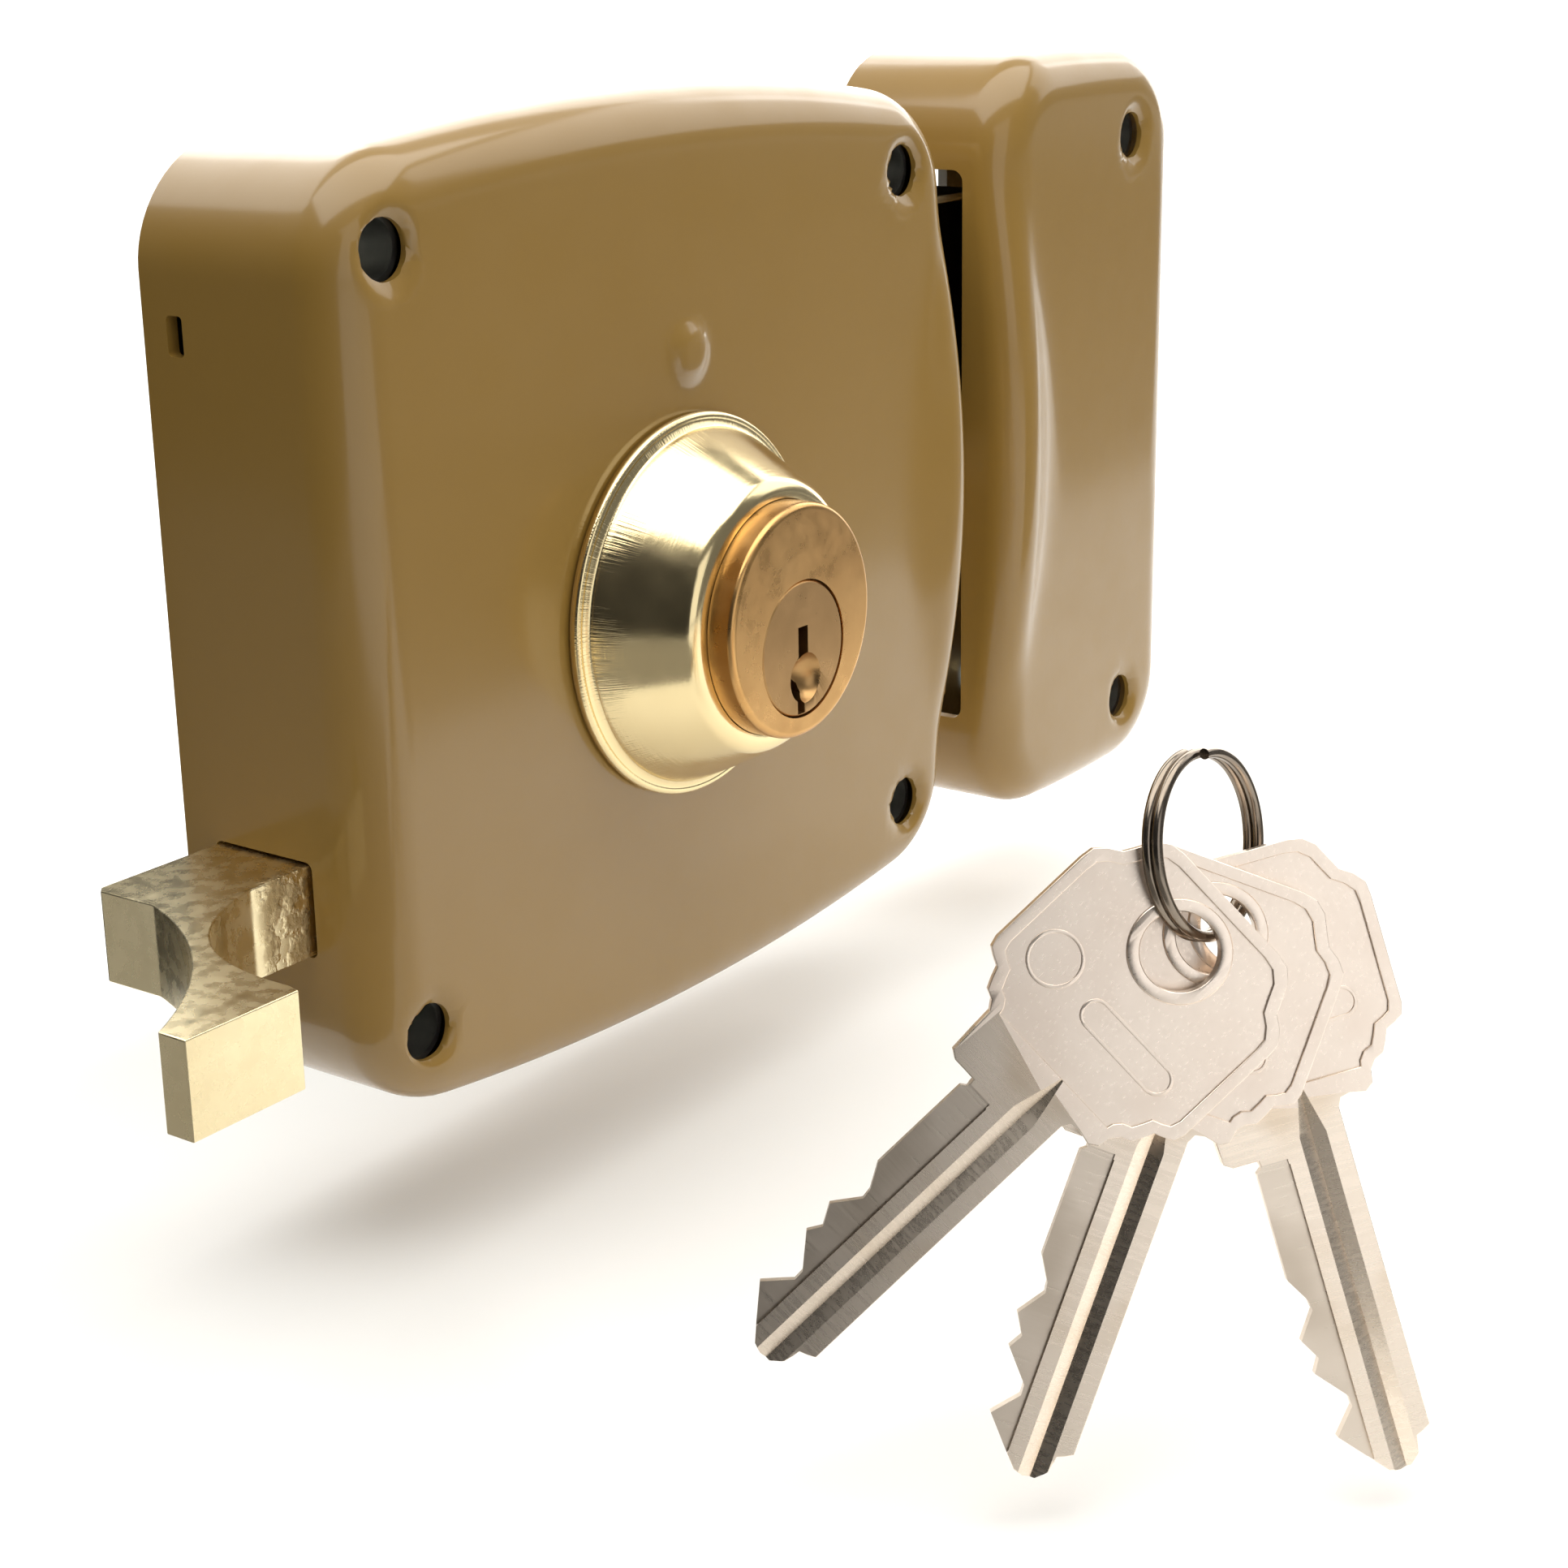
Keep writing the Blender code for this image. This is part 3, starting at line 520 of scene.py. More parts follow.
def bowed(shape, x, z):
    across = x / shape["half"][0]
    lip_side = max(0.0, shape["side"] * across) ** 2
    new_x = x - shape["side"] * shape["bulge"] * lip_side * (z / 40.0) ** 2
    new_z = z * (1 - shape["bow"] / shape["half"][1] * across**2)
    return (shape["centre"][0] + new_x, shape["centre"][1] + new_z)


def outline(shape, inset, arc_steps=14, side_steps=60):
    """The cover's outline pulled in by inset, as points that run round once."""
    half_x = shape["half"][0] - inset
    half_z = shape["half"][1] - inset
    corner = max(shape["corner"] - inset, 0.6)
    points = []
    for quarter in range(4):
        signs = [((1, 1), (-1, 1), (-1, -1), (1, -1))[(quarter + step) % 4] for step in (0, 1)]
        centre, following = [(sx * (half_x - corner), sz * (half_z - corner)) for sx, sz in signs]
        points += arc(centre, corner, 90.0 * quarter, 90.0 * (quarter + 1), arc_steps + 1)
        start = points[-1]
        end = arc(following, corner, 90.0 * (quarter + 1), 90.0 * (quarter + 2), 2)[0]
        for i in range(1, side_steps):
            t = i / side_steps
            points.append((start[0] + (end[0] - start[0]) * t, start[1] + (end[1] - start[1]) * t))
    return [bowed(shape, x, z) for x, z in points]


def lip_height(shape, x, z):
    rise = shape["slope"] * (shape["side"] * x - shape["lip_start"])
    height = rise - shape["fall"] * ((z - LIP_CENTRE_Z) / LIP_HALF) ** 2
    softness = 0.45
    return softness * math.log1p(math.exp(min(height / softness, 40.0))) if height < 8 else height


def pressed(x, z, holes, boss):
    """How far the sheet is pressed in (below zero) or out at this place, beside its holes and boss."""
    depth = 0.0
    for hole in holes:
        reach = math.hypot(x - hole[0], z - hole[1])
        if reach < DISH_RADIUS:
            run = min((DISH_RADIUS - reach) / (DISH_RADIUS - HOLE_RADIUS + 0.25), 1.0)
            depth -= min(1.7 * (1 - math.sqrt(1 - run * run)), DISH_DEPTH)
    if boss:
        reach = math.hypot(x - boss[0], z - boss[1])
        depth += 0.8 * (1 - smooth_step(2.0, 4.0, reach))
    return depth


def cover_surface(shape, holes, boss):
    """Rings from the door plane to the middle of the front, and a plainer set inside the sheet."""
    wall = DEPTH - EDGE
    outer = [(0.0, 0.0, 0), (0.0, 0.6, 0)] + [(0.0, wall * i / 10, 0) for i in range(1, 11)]
    for i in range(1, 13):
        angle = math.radians(90.0 * i / 12)
        outer.append((EDGE * (1 - math.cos(angle)), wall + EDGE * math.sin(angle), 1))
    reach = min(shape["half"]) - 1.2
    steps = int((reach - EDGE) / 0.85)
    outer += [(EDGE + (reach - EDGE) * i / steps, DEPTH, 1) for i in range(1, steps + 1)]
    inner_edge = EDGE - SHEET
    inner = [(SHEET, 0.0, 0), (SHEET, wall, 0)]
    for i in range(1, 6):
        angle = math.radians(90.0 * i / 5)
        inset = SHEET + inner_edge * (1 - math.cos(angle))
        inner.append((inset, wall + inner_edge * math.sin(angle), 0))
    inner += [(EDGE + 1 + 1.4 * i, DEPTH - SHEET, 0) for i in range(9)]
    rings = []
    for inset, height, detailed in inner[::-1] + outer:
        ring = []
        for x, z in outline(shape, inset):
            out = height * (1 + lip_height(shape, x, z) / DEPTH)
            if detailed:
                out += pressed(x, z, holes, boss) * smooth_step(DEPTH - 1.2, DEPTH, height)
            ring.append(Vector((x, -out, z)) * MM)
        rings.append(ring)
    return rings


def cover(name, shape, holes, boss=None):
    bm = bmesh.new()
    rings = [[bm.verts.new(point) for point in ring] for ring in cover_surface(shape, holes, boss)]
    count = len(rings[0])
    for lower, upper in zip(rings, rings[1:]):
        for i in range(count):
            j = (i + 1) % count
            bm.faces.new((lower[i], lower[j], upper[j], upper[i]))
    bm.faces.new(rings[-1])
    bm.faces.new(rings[0][::-1])
    bmesh.ops.recalc_face_normals(bm, faces=bm.faces)
    obj = from_bmesh(name, bm)
    drills = []
    for number, hole in enumerate(holes):
        drills.append(rod(f"{name}_drill_{number}", "Y", hole, HOLE_RADIUS, -DEPTH - 3, -DEPTH + 5))
    return obj, drills


def soft_slot(name, low, high, radius):
    """A cutter for a punched opening in a side wall: its outline in Y and Z has round corners."""
    (x0, y0, z0), (x1, y1, z1) = low, high
    right, left, top, bottom = y1 - radius, y0 + radius, z1 - radius, z0 + radius
    loop = []
    for quarter, spot in enumerate(((right, top), (left, top), (left, bottom), (right, bottom))):
        loop += arc(spot, radius, 90 * quarter, 90 * quarter + 90, 7)
    matrix = Matrix(((0, 0, 1, 0), (1, 0, 0, 0), (0, 1, 0, 0), (0, 0, 0, 1)))
    return flat(name, [loop], x0, x1, matrix)


def case_skin():
    obj, drills = cover("case_skin", CASE, CASE_HOLES, BOSS)
    (left, _, _), (right, _, _) = corners("case_cover")
    bolt, latch, stem = corners("deadbolt"), corners("latch_bolt"), corners("handle")
    tools = drills + [rod("cylinder_opening", "Y", (0, 0), 13.8, -DEPTH - 2, -DEPTH + 4, 96)]
    openings = (
        ("stem_opening", left - 1, left + 3, -4.6, stem[0][2] - 0.35, stem[1][2] + 0.35),
        ("bolt_opening", right - 6, right + 1, -5.9, 5.6, bolt[1][2] + 0.35),
        ("latch_opening", right - 6, right + 1, -5.9, latch[0][2] - 0.35, latch[1][2] + 0.35),
    )
    for name, from_x, to_x, back, bottom, top in openings:
        tools.append(soft_slot(name, (from_x, -18.9, bottom), (to_x, back, top), 0.9))
    tools.append(soft_slot("lanced_slot", (left - 1, -5.8, 34.2), (left + 3, -3.5, 38.4), 0.5))
    obj = combined(obj, "DIFFERENCE", tools)
    return finish_piece(obj, PAINT, "lock_case", ["case_cover"], 42.0)


def keeper_skin():
    obj, drills = cover("keeper_skin", KEEPER, KEEPER_HOLES)
    left = corners("keeper_cover")[0][0]
    low, high = KEEPER_POCKET
    opening = soft_slot("pocket_opening", (left - 2, -21.2, low), (left + 4, 3.0, high), 1.6)
    obj = combined(obj, "DIFFERENCE", drills + [opening])
    return finish_piece(obj, PAINT, "keeper_set", ["keeper_cover"], 42.0)


def plates():
    """The case's back plate and the keeper's, with the holes and windows of the frame's plates."""
    holes = [circle(*hole, HOLE_RADIUS) for hole in CASE_HOLES]
    holes += [circle(x, SCREW_Z, 2.3, 40) for x in SCREW_X]
    holes.append(circle(0.0, -PLUG_DROP, 6.0))
    back = flat("back_plate_skin", [outline(CASE, 1.9), *holes], 0.0, 1.5, UPRIGHT)
    finish_piece(rounded(back, 0.2, 2), ZINC, "lock_case", ["back_plate"])
    loops = [outline(KEEPER, 1.9)] + [circle(*hole, HOLE_RADIUS) for hole in KEEPER_HOLES]
    plate = flat("keeper_plate_skin", loops, 0.0, 1.5, UPRIGHT)
    plate = combined(plate, "DIFFERENCE", [block("window", (70.0, -3.0, -31.5), (98.0, 2.0, 41.0))])
    finish_piece(rounded(plate, 0.2, 2), ZINC, "keeper_set", ["keeper_plate"])


def tubes():
    groups = [("screw_tube", CASE_HOLES, "lock_case"), ("keeper_tube", KEEPER_HOLES, "keeper_set")]
    for name, holes, body in groups:
        for number, hole in enumerate(holes, 1):
            profile = [(4.0, 25.2), (4.0, 1.9), (3.8, 1.8), (3.1, 1.8), (3.1, 25.4), (3.8, 25.4)]
            tube = turned(f"{name}_{number}_skin", profile, hole, 48)
            finish_piece(tube, ZINC, body, [f"{name}_{number}"])


# ---------------------------------------------------------------- cylinders

OUTSIDE_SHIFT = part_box("outer_cylinder_body")[1].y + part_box("inner_cylinder_body")[0].y
OUTSIDE = Matrix.Translation((0.0, OUTSIDE_SHIFT, 0.0)) @ Matrix.Rotation(math.pi, 4, "Z")


def turned_round(obj, outer):
    if outer:
        obj.data.transform(OUTSIDE)
    return obj


def rose(name, outer):
    """The spun cone: rolled rim, a shallow groove, the straight flank and a rounded shoulder."""
    profile = arc((13.9, 38.3), 2.3, 98.0, 28.0, 14)
    profile += [(18.5, 34.6), (20.45, 30.7), (20.6, 30.1), (20.75, 29.75)]
    profile += arc((21.75, 28.95), 0.62, 120.0, -30.0, 12)
    profile += [(22.2, 28.35), (20.4, 28.3), (19.5, 29.6), (15.0, 38.1), (13.58, 38.9)]
    obj = turned_round(turned(name, profile, (0, 0), 192), outer)
    node = "outer_rose" if outer else "inner_rose"
    return finish_piece(obj, ROSE_BRASS, "lock_case", [node], 50.0)


def cylinder(name, outer):
    profile = [(0.0, 44.0), (12.7, 44.0)] + arc((12.75, 43.25), 0.75, 80.0, 0.0, 7)
    profile += [(13.5, 12.5), (13.1, 12.0), (0.0, 12.0)]
    obj = turned(name, profile, (0, 0), 144)
    tools = [rod("plug_bore", "Y", (0, -PLUG_DROP), 7.98, -46, -10, 112)]
    if outer:
        tools += [rod(f"bore_{x}", "Y", (x, SCREW_Z), 2.3, -23, -11, 32) for x in SCREW_X]
    obj = turned_round(combined(obj, "DIFFERENCE", tools), outer)
    node = "outer_cylinder_body" if outer else "inner_cylinder_body"
    return finish_piece(obj, CYLINDER_BRASS, "lock_case", [node])


def keyway():
    """The keyhole's outline as (x, z): a slit above, and steps below for the key's grooves."""
    right = [(0.93, 2.6), (0.93, -1.5), (-0.05, -2.5), (-0.05, -3.7)]
    right += [(0.9, -4.5), (0.9, -5.5), (0.1, -6.2), (0.1, -7.5)]
    left = [(-1.25, -7.5), (-1.25, -5.3), (-0.93, -4.9), (-0.93, 2.6)]
    return [(x, z - PLUG_DROP) for x, z in right + left]


def plug(name, outer):
    """The plug: its face a hair below the cylinder's, with a dished mouth for the key's tip."""
    profile = [(0.0, 43.95), (7.6, 43.95), (7.85, 43.7), (7.85, 12.5)]
    profile += [(4.5, 12.5), (4.5, 10.2), (0.0, 10.2)]
    obj = turned(name, profile, (0, -PLUG_DROP), 112)
    bm = bmesh.new()
    bowl = Matrix.Translation(Vector((0.35, -45.2, -6.7)) * MM)
    bmesh.ops.create_uvsphere(bm, u_segments=48, v_segments=24, radius=3.2 * MM, matrix=bowl)
    slit = flat("slit", [keyway()[::-1]], 15.0, 47.0, UPRIGHT)
    # The exact solver lists these points in another order on each run, which the bevel then shows.
    obj = combined(obj, "DIFFERENCE", [from_bmesh("bowl", bm), slit], "MANIFOLD")
    obj = turned_round(rounded(obj, 0.06, 2, 30.0), outer)
    body = "outer_plug_set" if outer else "inner_plug_set"
    return finish_piece(obj, PLUG_BRASS, body, ["outer_plug" if outer else "inner_plug"])


def fixing_screws():
    """Machine screws from the plate into the outer cylinder, with threads as close rings."""
    for number, x in enumerate(SCREW_X, 1):
        low, high = corners(f"cylinder_screw_{number}")
        profile = [(0.0, -low[1]), (3.3, -low[1]), (3.8, -low[1] - 0.5)]
        profile += [(3.9, 1.9), (3.8, 1.8), (1.95, 1.8)]
        turns = int((high[1] - 1.5) / 0.7)
        for i in range(turns):
            depth = -0.7 * i
            profile += [(1.95, depth), (1.62, depth - 0.35)]
        profile += [(1.5, -high[1] + 0.2), (0.0, -high[1])]
        obj = turned(f"cylinder_screw_{number}_skin", profile, (x, SCREW_Z), 32)
        slot = block("driver_slot", (x - 5, low[1] - 1, 0.5), (x + 5, low[1] + 1.1, 1.5))
        obj = combined(obj, "DIFFERENCE", [slot])
        finish_piece(obj, ZINC, "lock_case", [f"cylinder_screw_{number}"])


# ---------------------------------------------------------------- handle and bolts

def bezier(start, control, end, count):
    points = []
    for i in range(count):
        t = i / (count - 1)
        weights = ((1 - t) ** 2, 2 * t * (1 - t), t * t)
        pairs = list(zip(weights, (start, control, end)))
        points.append(tuple(sum(w * p[k] for w, p in pairs) for k in (0, 1)))
    return points


def handle_skin():
    """The cast pull with its two sweeps, thin neck and finger plate, rounded all over."""
    low, high = corners("handle")
    tip_x, tip_y = low[0], low[1]
    left = bezier((-70.9, -13.4), (-76.2, -30.0), (tip_x, tip_y + 3.5), 40)
    right = bezier((-78.4, tip_y + 1.7), (-79.4, -22.7), (-62.0, -18.5), 40)
    points = [(high[0], -5.0), (-70.2, -5.0), (-71.0, -5.8), *left]
    points += [(tip_x, tip_y), (-78.8, tip_y), *right, (high[0], -18.5)]
    obj = flat("handle_skin", [points], low[2], high[2], Matrix.Identity(4))
    obj = rounded(obj, 0.85, 5, 38.0)
    return finish_piece(obj, HANDLE_BRASS, "spring_latch_set", ["handle"], 60.0)


def bolts():
    """The deadbolt's head and tail and the latch, with softened edges."""
    low, high = corners("deadbolt")
    head = rounded(block("deadbolt_head", (44.0, low[1], 6.0), high), 0.7, 4)
    finish_piece(head, BOLT_BRASS, "deadbolt_set")
    NODES["deadbolt"].data.materials.clear()
    NODES["deadbolt"].data.materials.append(BOLT_BRASS)
    low, high = corners("latch_bolt")
    nose = [(low[0], low[1]), (high[0] - 1.2, low[1]), (high[0], low[1] + 1.2)]
    nose += [(62.0, high[1]), (low[0], high[1])]
    latch = rounded(flat("latch_bolt_skin", [nose], low[2], high[2], Matrix.Identity(4)), 0.5, 4)
    finish_piece(latch, BOLT_BRASS, "spring_latch_set", ["latch_bolt"])


SPRING_TURNS = 11
SPRING_WIRE_RADIUS = 0.5


def latch_spring():
    """The coil round the guide rod, wound along the frame's spring from one end to the other."""
    low, high = corners("latch_spring")
    centre = [(low[k] + high[k]) / 2 for k in (1, 2)]
    radius = (high[1] - low[1]) / 2 - SPRING_WIRE_RADIUS
    start, end = low[0] + SPRING_WIRE_RADIUS, high[0] - SPRING_WIRE_RADIUS
    count = SPRING_TURNS * 32
    points = []
    for i in range(count + 1):
        angle = 2 * math.pi * SPRING_TURNS * i / count
        across, up = radius * math.cos(angle), radius * math.sin(angle)
        points.append((start + (end - start) * i / count, centre[0] + across, centre[1] + up))
    obj = wire("latch_spring_skin", points, SPRING_WIRE_RADIUS)
    obj = finish_piece(obj, SPRING_WIRE, "lock_case", ["latch_spring"], 60.0)
    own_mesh(obj)


# ---------------------------------------------------------------- keys

KEY_TURN = -54.3
KEY_TIP = 73.1
KEY_THICKNESS = 2.0
KEY_LAYER = 2.6
BOW_MIDDLE = 5.4
DISC = (8.6, -7.2)
BORDER = 1.15
FIELD_DEPTH = 0.38
MARK_HEIGHT = 0.12
FLANK_DEPTH = 0.34
POCKETS = (("flank", 21.9, -9.0, -1.75, FLANK_DEPTH), ("relief", 22.4, -2.15, -1.65, 0.62))
GROOVE_T = 1.1
GROOVE_LIFT = 0.42
GROOVE_SIZE = 1.15
GROOVE_SPREAD = 1.75
KEY_PLACES = ((-2.9, -9.5, 1, 47.7), (0.75, -8.2, 0, 21.0), (3.45, -7.5, -1, -15.0))
RING_RADIUS = 8.4
RING_TWIST = 50.0
RING_CENTRE = [sum(pair) / 2 for pair in zip(*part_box("key_ring"))]


def key_plane(place=(0.0, 0.0, 0.0), turn=0.0):
    """From the flat drawing of the keys to their place on the ring."""
    heading = Matrix.Rotation(math.radians(KEY_TURN), 4, "Z")
    tilt = heading @ Matrix.Rotation(math.radians(KEY_TIP), 4, "X")
    local = Matrix.Translation(Vector(place) * MM) @ Matrix.Rotation(math.radians(turn), 4, "Z")
    return Matrix.Translation(RING_CENTRE) @ tilt @ local


def bow_outline(inset):
    """The bow as a closed loop: straight sides, scalloped corners, and a straight end at the blade."""
    scale_s = 1 - inset / 11.8
    scale_t = 1 - inset / 12.2
    half = [(-6.35, 0.0), (-6.35, 6.2), (-6.1, 7.6), (-5.2, 8.7), (-3.6, 9.5), (-2.5, 10.1)]
    half += [(-1.7, 11.3), (-0.7, 12.15), (0.6, 12.3), (11.0, 12.3), (12.0, 12.0), (12.5, 11.2)]
    half += [(12.9, 10.3), (13.9, 9.9), (14.9, 9.4), (15.3, 8.5), (16.1, 7.9)]
    return [(BOW_MIDDLE + (s - BOW_MIDDLE) * scale_s, t * scale_t) for s, t in half]


def closed_bow(inset, end):
    half = [point for point in bow_outline(inset) if point[0] < end]
    last = half[-1]
    half.append((end, last[1] * 0.985))
    return half[1:] + [(s, -t) for s, t in half[::-1][:-1]]


def key_outline():
    upper = bow_outline(0.0)[1:] + [(17.3, 7.7), (17.9, 6.9), (17.6, 5.4), (17.8, 4.5), (18.6, 4.1)]
    upper += [(48.9, 4.1), (49.3, 3.4), (49.6, 2.7), (50.3, 2.6), (51.2, 2.4)]
    upper += [(52.2, 1.5), (52.3, 0.4), (52.0, -0.6), (50.6, -1.9)]
    cuts = [(47.9, -4.3), (45.5, -2.25), (44.5, -2.3), (41.7, -4.75), (40.4, -4.0)]
    cuts += [(38.5, -5.1), (36.0, -3.35), (35.0, -3.5)]
    shoulder = [(32.8, -4.8), (22.6, -4.8), (22.2, -4.3), (21.4, -4.4)]
    shoulder += [(21.4, -6.8), (20.9, -7.6), (18.0, -7.8)]
    return upper + cuts + shoulder + [(s, -t) for s, t in bow_outline(0.0)[::-1][:-1]]


def oblong(s, t, length, width):
    """A plain oblong frame across the bow, as two loops."""
    loops = []
    for inset in (0.0, 0.32):
        radius = width / 2 - inset
        reach = length / 2 - width / 2
        first = arc((s, t + reach), radius, 0.0, 180.0, 13)
        loops.append(first + arc((s, t - reach), radius, 180.0, 360.0, 13))
    return loops


def joined(target, others):
    """Puts several closed shapes into one object."""
    bm = bmesh.new()
    for obj in (target, *others):
        bm.from_mesh(obj.data)
    name = target.name
    for obj in (target, *others):
        bpy.data.objects.remove(obj, do_unlink=True)
    return from_bmesh(name, bm)


def milled_blank(name):
    """The key's rim and blade in one plate, with its grooves and the pockets along the cuts."""
    half = KEY_THICKNESS / 2
    obj = flat(name, [key_outline(), closed_bow(BORDER, 15.6)], -half, half, Matrix.Identity(4), 0.09)
    tools = []
    middle = Matrix.Translation((0.0, GROOVE_T * MM, 0.0))
    widen = middle @ Matrix.Diagonal((1.0, GROOVE_SPREAD, 1.0, 1.0)) @ middle.inverted()
    for side in (1, -1):
        top = side * (half + GROOVE_LIFT)
        groove = rod("groove", "X", (GROOVE_T, top), GROOVE_SIZE, 20.4, 56.0, 4)
        start = rod("groove_start", "X", (GROOVE_T, top), GROOVE_LIFT, 15.0, 20.4, 4, GROOVE_SIZE)
        for tool in (groove, start):
            tool.data.transform(widen)
            tools.append(tool)
        for kind, start_s, low_t, high_t, depth in POCKETS:
            low, high = sorted((side * (half - depth), side * (half + 1.0)))
            tools.append(block(kind, (start_s, low_t, low), (56.0, high_t, high)))
    return combined(obj, "DIFFERENCE", tools)


def key_skin(number, u, v, layer, lean):
    """The whole key: the milled blank, the web inside its rim, the ring at the hole, and two marks."""
    half = KEY_THICKNESS / 2
    web = half - FIELD_DEPTH
    mark = web + MARK_HEIGHT
    name = f"key_{number}_skin"
    plain = Matrix.Identity(4)
    shapes = [
        flat("web", [closed_bow(0.8, 16.0), circle(0, 0, 4.2)], -web, web, plain),
        flat("hole_ring", [circle(0, 0, 4.8), circle(0, 0, 3.65)], -half, half, plain, 0.16),
        flat("disc_mark", [circle(*DISC, 2.7, 48), circle(*DISC, 2.35, 48)], -mark, mark, plain, 0.05),
        flat("label_mark", oblong(9.4, 3.0, 11.0, 3.0), -mark, mark, plain, 0.05),
    ]
    obj = joined(milled_blank(name), shapes)
    obj.matrix_world = key_plane((u, v, layer * KEY_LAYER), -90.0 - lean)
    obj = finish_piece(obj, BOW_NICKEL, f"key_{number}_set", [f"key_{number}"], 18.0)
    obj.data.materials.append(BLADE_NICKEL[number - 1])
    obj.data.materials.append(FLANK_NICKEL[number - 1])
    flank_level = (half - FLANK_DEPTH + 0.05) * MM
    for polygon in obj.data.polygons:
        along, across, depth = polygon.center
        if along > 21.8 * MM and across < -1.7 * MM and abs(depth) < flank_level:
            polygon.material_index = 2
        elif along > 17.2 * MM or (abs(across - GROOVE_T * MM) < 1.45 * MM and along > 14.2 * MM):
            polygon.material_index = 1
    return obj


def ring_skin():
    """A split ring: two close turns of wire whose ends lie against each other."""
    turns, per_turn, pitch = 2.0, 96, 1.02
    count = int(turns * per_turn)
    points = []
    for i in range(count + 1):
        angle = 2 * math.pi * i / per_turn + math.radians(100)
        depth = pitch * (i / per_turn - turns / 2)
        points.append((RING_RADIUS * math.cos(angle), RING_RADIUS * math.sin(angle), depth))
    obj = wire("key_ring_skin", points, 0.52)
    obj.data.transform(key_plane() @ Matrix.Rotation(math.radians(RING_TWIST), 4, "Y"))
    return finish_piece(obj, RING_WIRE, "key_ring_set", ["key_ring"], 60.0)


# ---------------------------------------------------------------- what stays from the frame

def keep_nodes():
    """The frame's own pieces that stay in view, or inside, with their materials."""
    slots = {part["node"]: part["material_slot"] for part in frame["record"]["subparts"]}
    looks = {
        "zinc_steel": ZINC,
        "satin_brass": BOLT_BRASS,
        "brass": PLUG_BRASS,
        "cast_brass": HANDLE_BRASS,
        "nickel": BOW_NICKEL,
        "spring_steel": SPRING_WIRE,
        "khaki_paint": PAINT,
    }
    for name, node in NODES.items():
        node.data.materials.clear()
        node.data.materials.append(looks[slots[name]])


# ---------------------------------------------------------------- stage

def panel(name, size, place, aim):
    """A flat card that faces a point."""
    bm = bmesh.new()
    matrix = Matrix.Diagonal((size[0] / 2, size[1] / 2, 1.0, 1.0))
    bmesh.ops.create_grid(bm, x_segments=1, y_segments=1, size=1.0, matrix=matrix)
    obj = from_bmesh(name, bm)
    obj.location = place
    obj.rotation_euler = (Vector(aim) - Vector(place)).to_track_quat("Z", "Y").to_euler()
    return obj


def stage():
    floor_height = CAD_BOX[0][2] - 0.004
    floor = panel("floor", (8.0, 8.0), (0.0, 0.0, floor_height), (0.0, 0.0, 1.0))
    look = Look("pale_floor", (0.90, 0.90, 0.89), 0.7)
    look.rough(look.spread(look.noise(8.0, 2.0), 0.3, 0.7, 0.65, 0.75))
    floor.data.materials.append(look.material)
    backdrop = panel("backdrop", (5.0, 2.6), (1.9, 1.5, 1.2), (0.0, 0.0, 1.2))
    glow = Look("backdrop_glow", (0.9, 0.9, 0.9), 0.8)
    glow.set("Emission Color", (1.0, 0.985, 0.95, 1.0))
    glow.set("Emission Strength", 3.1)
    backdrop.data.materials.append(glow.material)
    level = floor_height + 0.002
    cards = (
        ("dark_side_card", (0.75, 0.50), (-0.34, 0.02, 0.06), (0.0, 0.0, 0.0), 0.01),
        ("dim_floor_left", (0.26, 0.60), (-0.21, 0.06, level), (-0.21, 0.06, 1.0), 0.20),
        ("dim_floor_right", (1.20, 0.80), (0.68, -0.57, level), (0.68, -0.57, 1.0), 0.10),
        ("dark_rear_card", (0.17, 0.11), (-0.02, 0.06, -0.005), (-0.02, 0.0, -0.005), 0.03),
    )
    for name, size, place, aim, grey in cards:
        card = panel(name, size, place, aim)
        card.visible_camera = False
        card.visible_shadow = False
        card.data.materials.append(one_sided(name, grey))


def one_sided(name, grey):
    """A dull card that shades the side it faces and lets light through from behind."""
    look = Look(name, (grey, grey * 0.97, grey * 0.93), 0.9)
    look.rough(look.spread(look.noise(30.0, 2.0), 0.3, 0.7, 0.85, 0.95))
    mix = look.node("ShaderNodeMixShader")
    look.feed(mix.inputs[0], look.node("ShaderNodeNewGeometry").outputs["Backfacing"])
    look.feed(mix.inputs[1], look.shader.outputs[0])
    look.feed(mix.inputs[2], look.node("ShaderNodeBsdfTransparent").outputs[0])
    look.feed(look.tree.nodes["Material Output"].inputs["Surface"], mix.outputs[0])
    return look.material


def area_light(name, place, aim, size, radiance, colour):
    """A soft box whose face has this brightness, where 1 is a white page in full light."""
    data = bpy.data.lights.new(name, "AREA")
    data.shape = "RECTANGLE"
    data.size, data.size_y = size
    data.energy = radiance * math.pi * size[0] * size[1]
    data.color = colour
    light = bpy.data.objects.new(name, data)
    light.location = place
    light.rotation_euler = (Vector(aim) - Vector(place)).to_track_quat("-Z", "Y").to_euler()
    bpy.context.scene.collection.objects.link(light)


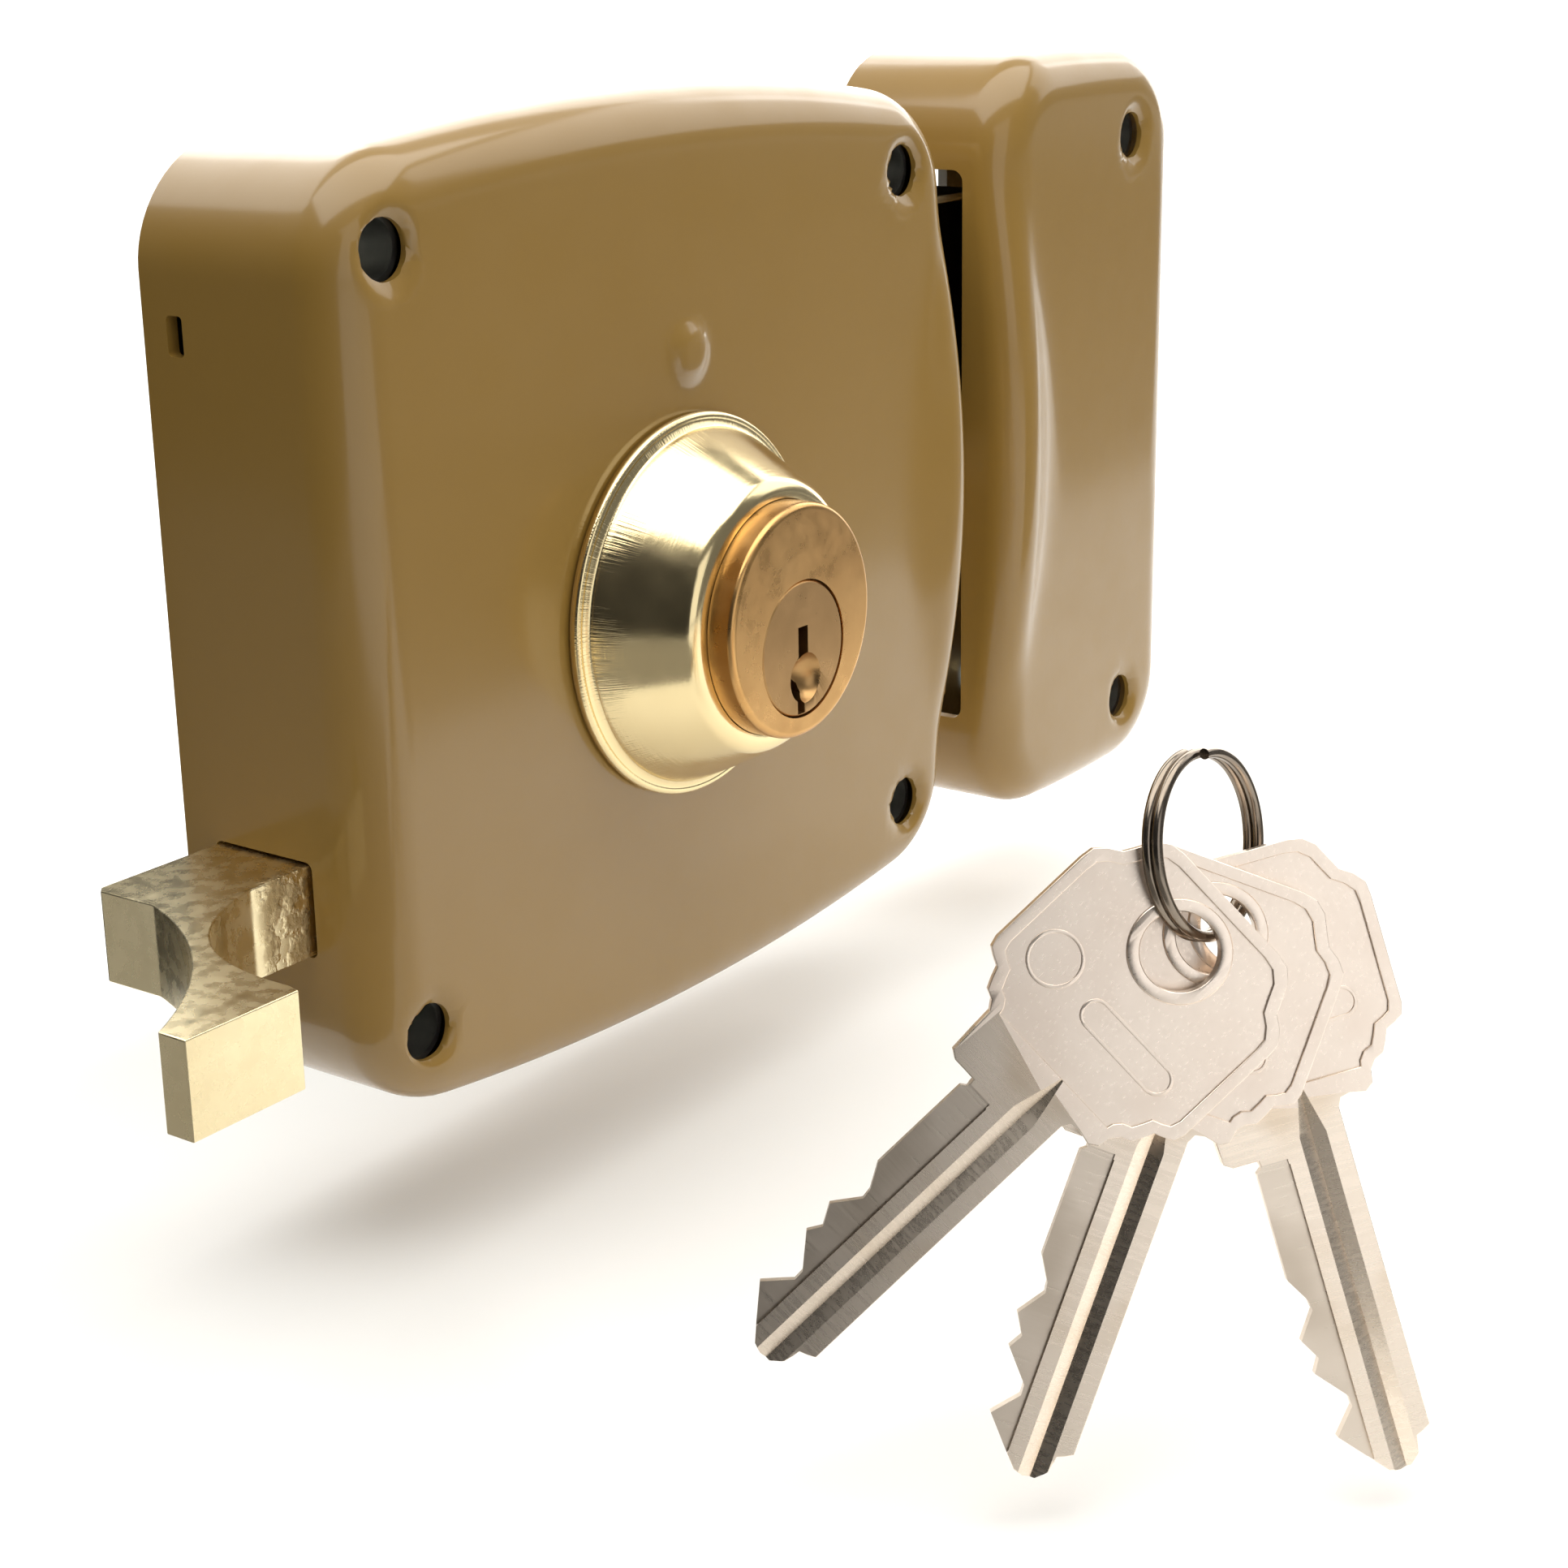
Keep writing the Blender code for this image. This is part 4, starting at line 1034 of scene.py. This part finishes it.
def lights():
    world = bpy.data.worlds.new("studio")
    world.use_nodes = True
    world.node_tree.nodes["Background"].inputs["Color"].default_value = (1.0, 0.99, 0.97, 1.0)
    world.node_tree.nodes["Background"].inputs["Strength"].default_value = 0.18
    bpy.context.scene.world = world
    bpy.context.scene.view_settings.view_transform = "Standard"
    warm, white = (1.0, 0.985, 0.95), (1.0, 1.0, 1.0)
    boxes = (
        ("top_box", (-0.04, -0.08, 0.75), (0.0, -0.02, 0.0), (1.20, 0.75), 3.1, warm),
        ("rear_box", (0.10, 0.90, 0.75), (0.0, 0.0, 0.05), (1.20, 0.60), 2.2, warm),
        ("camera_box", (-0.46, -0.76, 0.30), (0.0, -0.1, 0.0), (0.60, 0.70), 0.92, white),
        ("right_box", (0.80, -0.36, 0.52), (0.0, 0.0, 0.0), (0.70, 0.60), 1.75, white),
    )
    for box in boxes:
        area_light(*box)


CAMERA_PLACE = (-0.2396, -0.2133, 0.0762)
CAMERA_TURN = -54.29
CAMERA_DROP = 16.88
CAMERA_ROLL = -0.96
FRAME_WIDTH = 1932.0
FOCAL = 3309.0
CENTRE_Y = 900.0
SENSOR = 36.0


def camera():
    data = bpy.data.cameras.new("camera")
    data.sensor_width = SENSOR
    data.lens = FOCAL / FRAME_WIDTH * SENSOR
    data.shift_y = (CENTRE_Y - FRAME_WIDTH / 2) / FRAME_WIDTH
    data.clip_start = 0.01
    obj = bpy.data.objects.new("camera", data)
    turn = Matrix.Rotation(math.radians(CAMERA_TURN), 4, "Z")
    drop = Matrix.Rotation(math.radians(90.0 - CAMERA_DROP), 4, "X")
    roll = Matrix.Rotation(math.radians(CAMERA_ROLL), 4, "Z")
    obj.matrix_world = Matrix.Translation(CAMERA_PLACE) @ turn @ drop @ roll
    bpy.context.scene.collection.objects.link(obj)
    bpy.context.scene.camera = obj


def build():
    keep_nodes()
    case_skin()
    keeper_skin()
    plates()
    tubes()
    for outer in (False, True):
        prefix = "outer" if outer else "inner"
        rose(f"{prefix}_rose_skin", outer)
        cylinder(f"{prefix}_cylinder_skin", outer)
        plug(f"{prefix}_plug_skin", outer)
    fixing_screws()
    handle_skin()
    bolts()
    latch_spring()
    for number, place in enumerate(KEY_PLACES, 1):
        key_skin(number, *place)
    ring_skin()
    stage()
    lights()
    camera()


build()
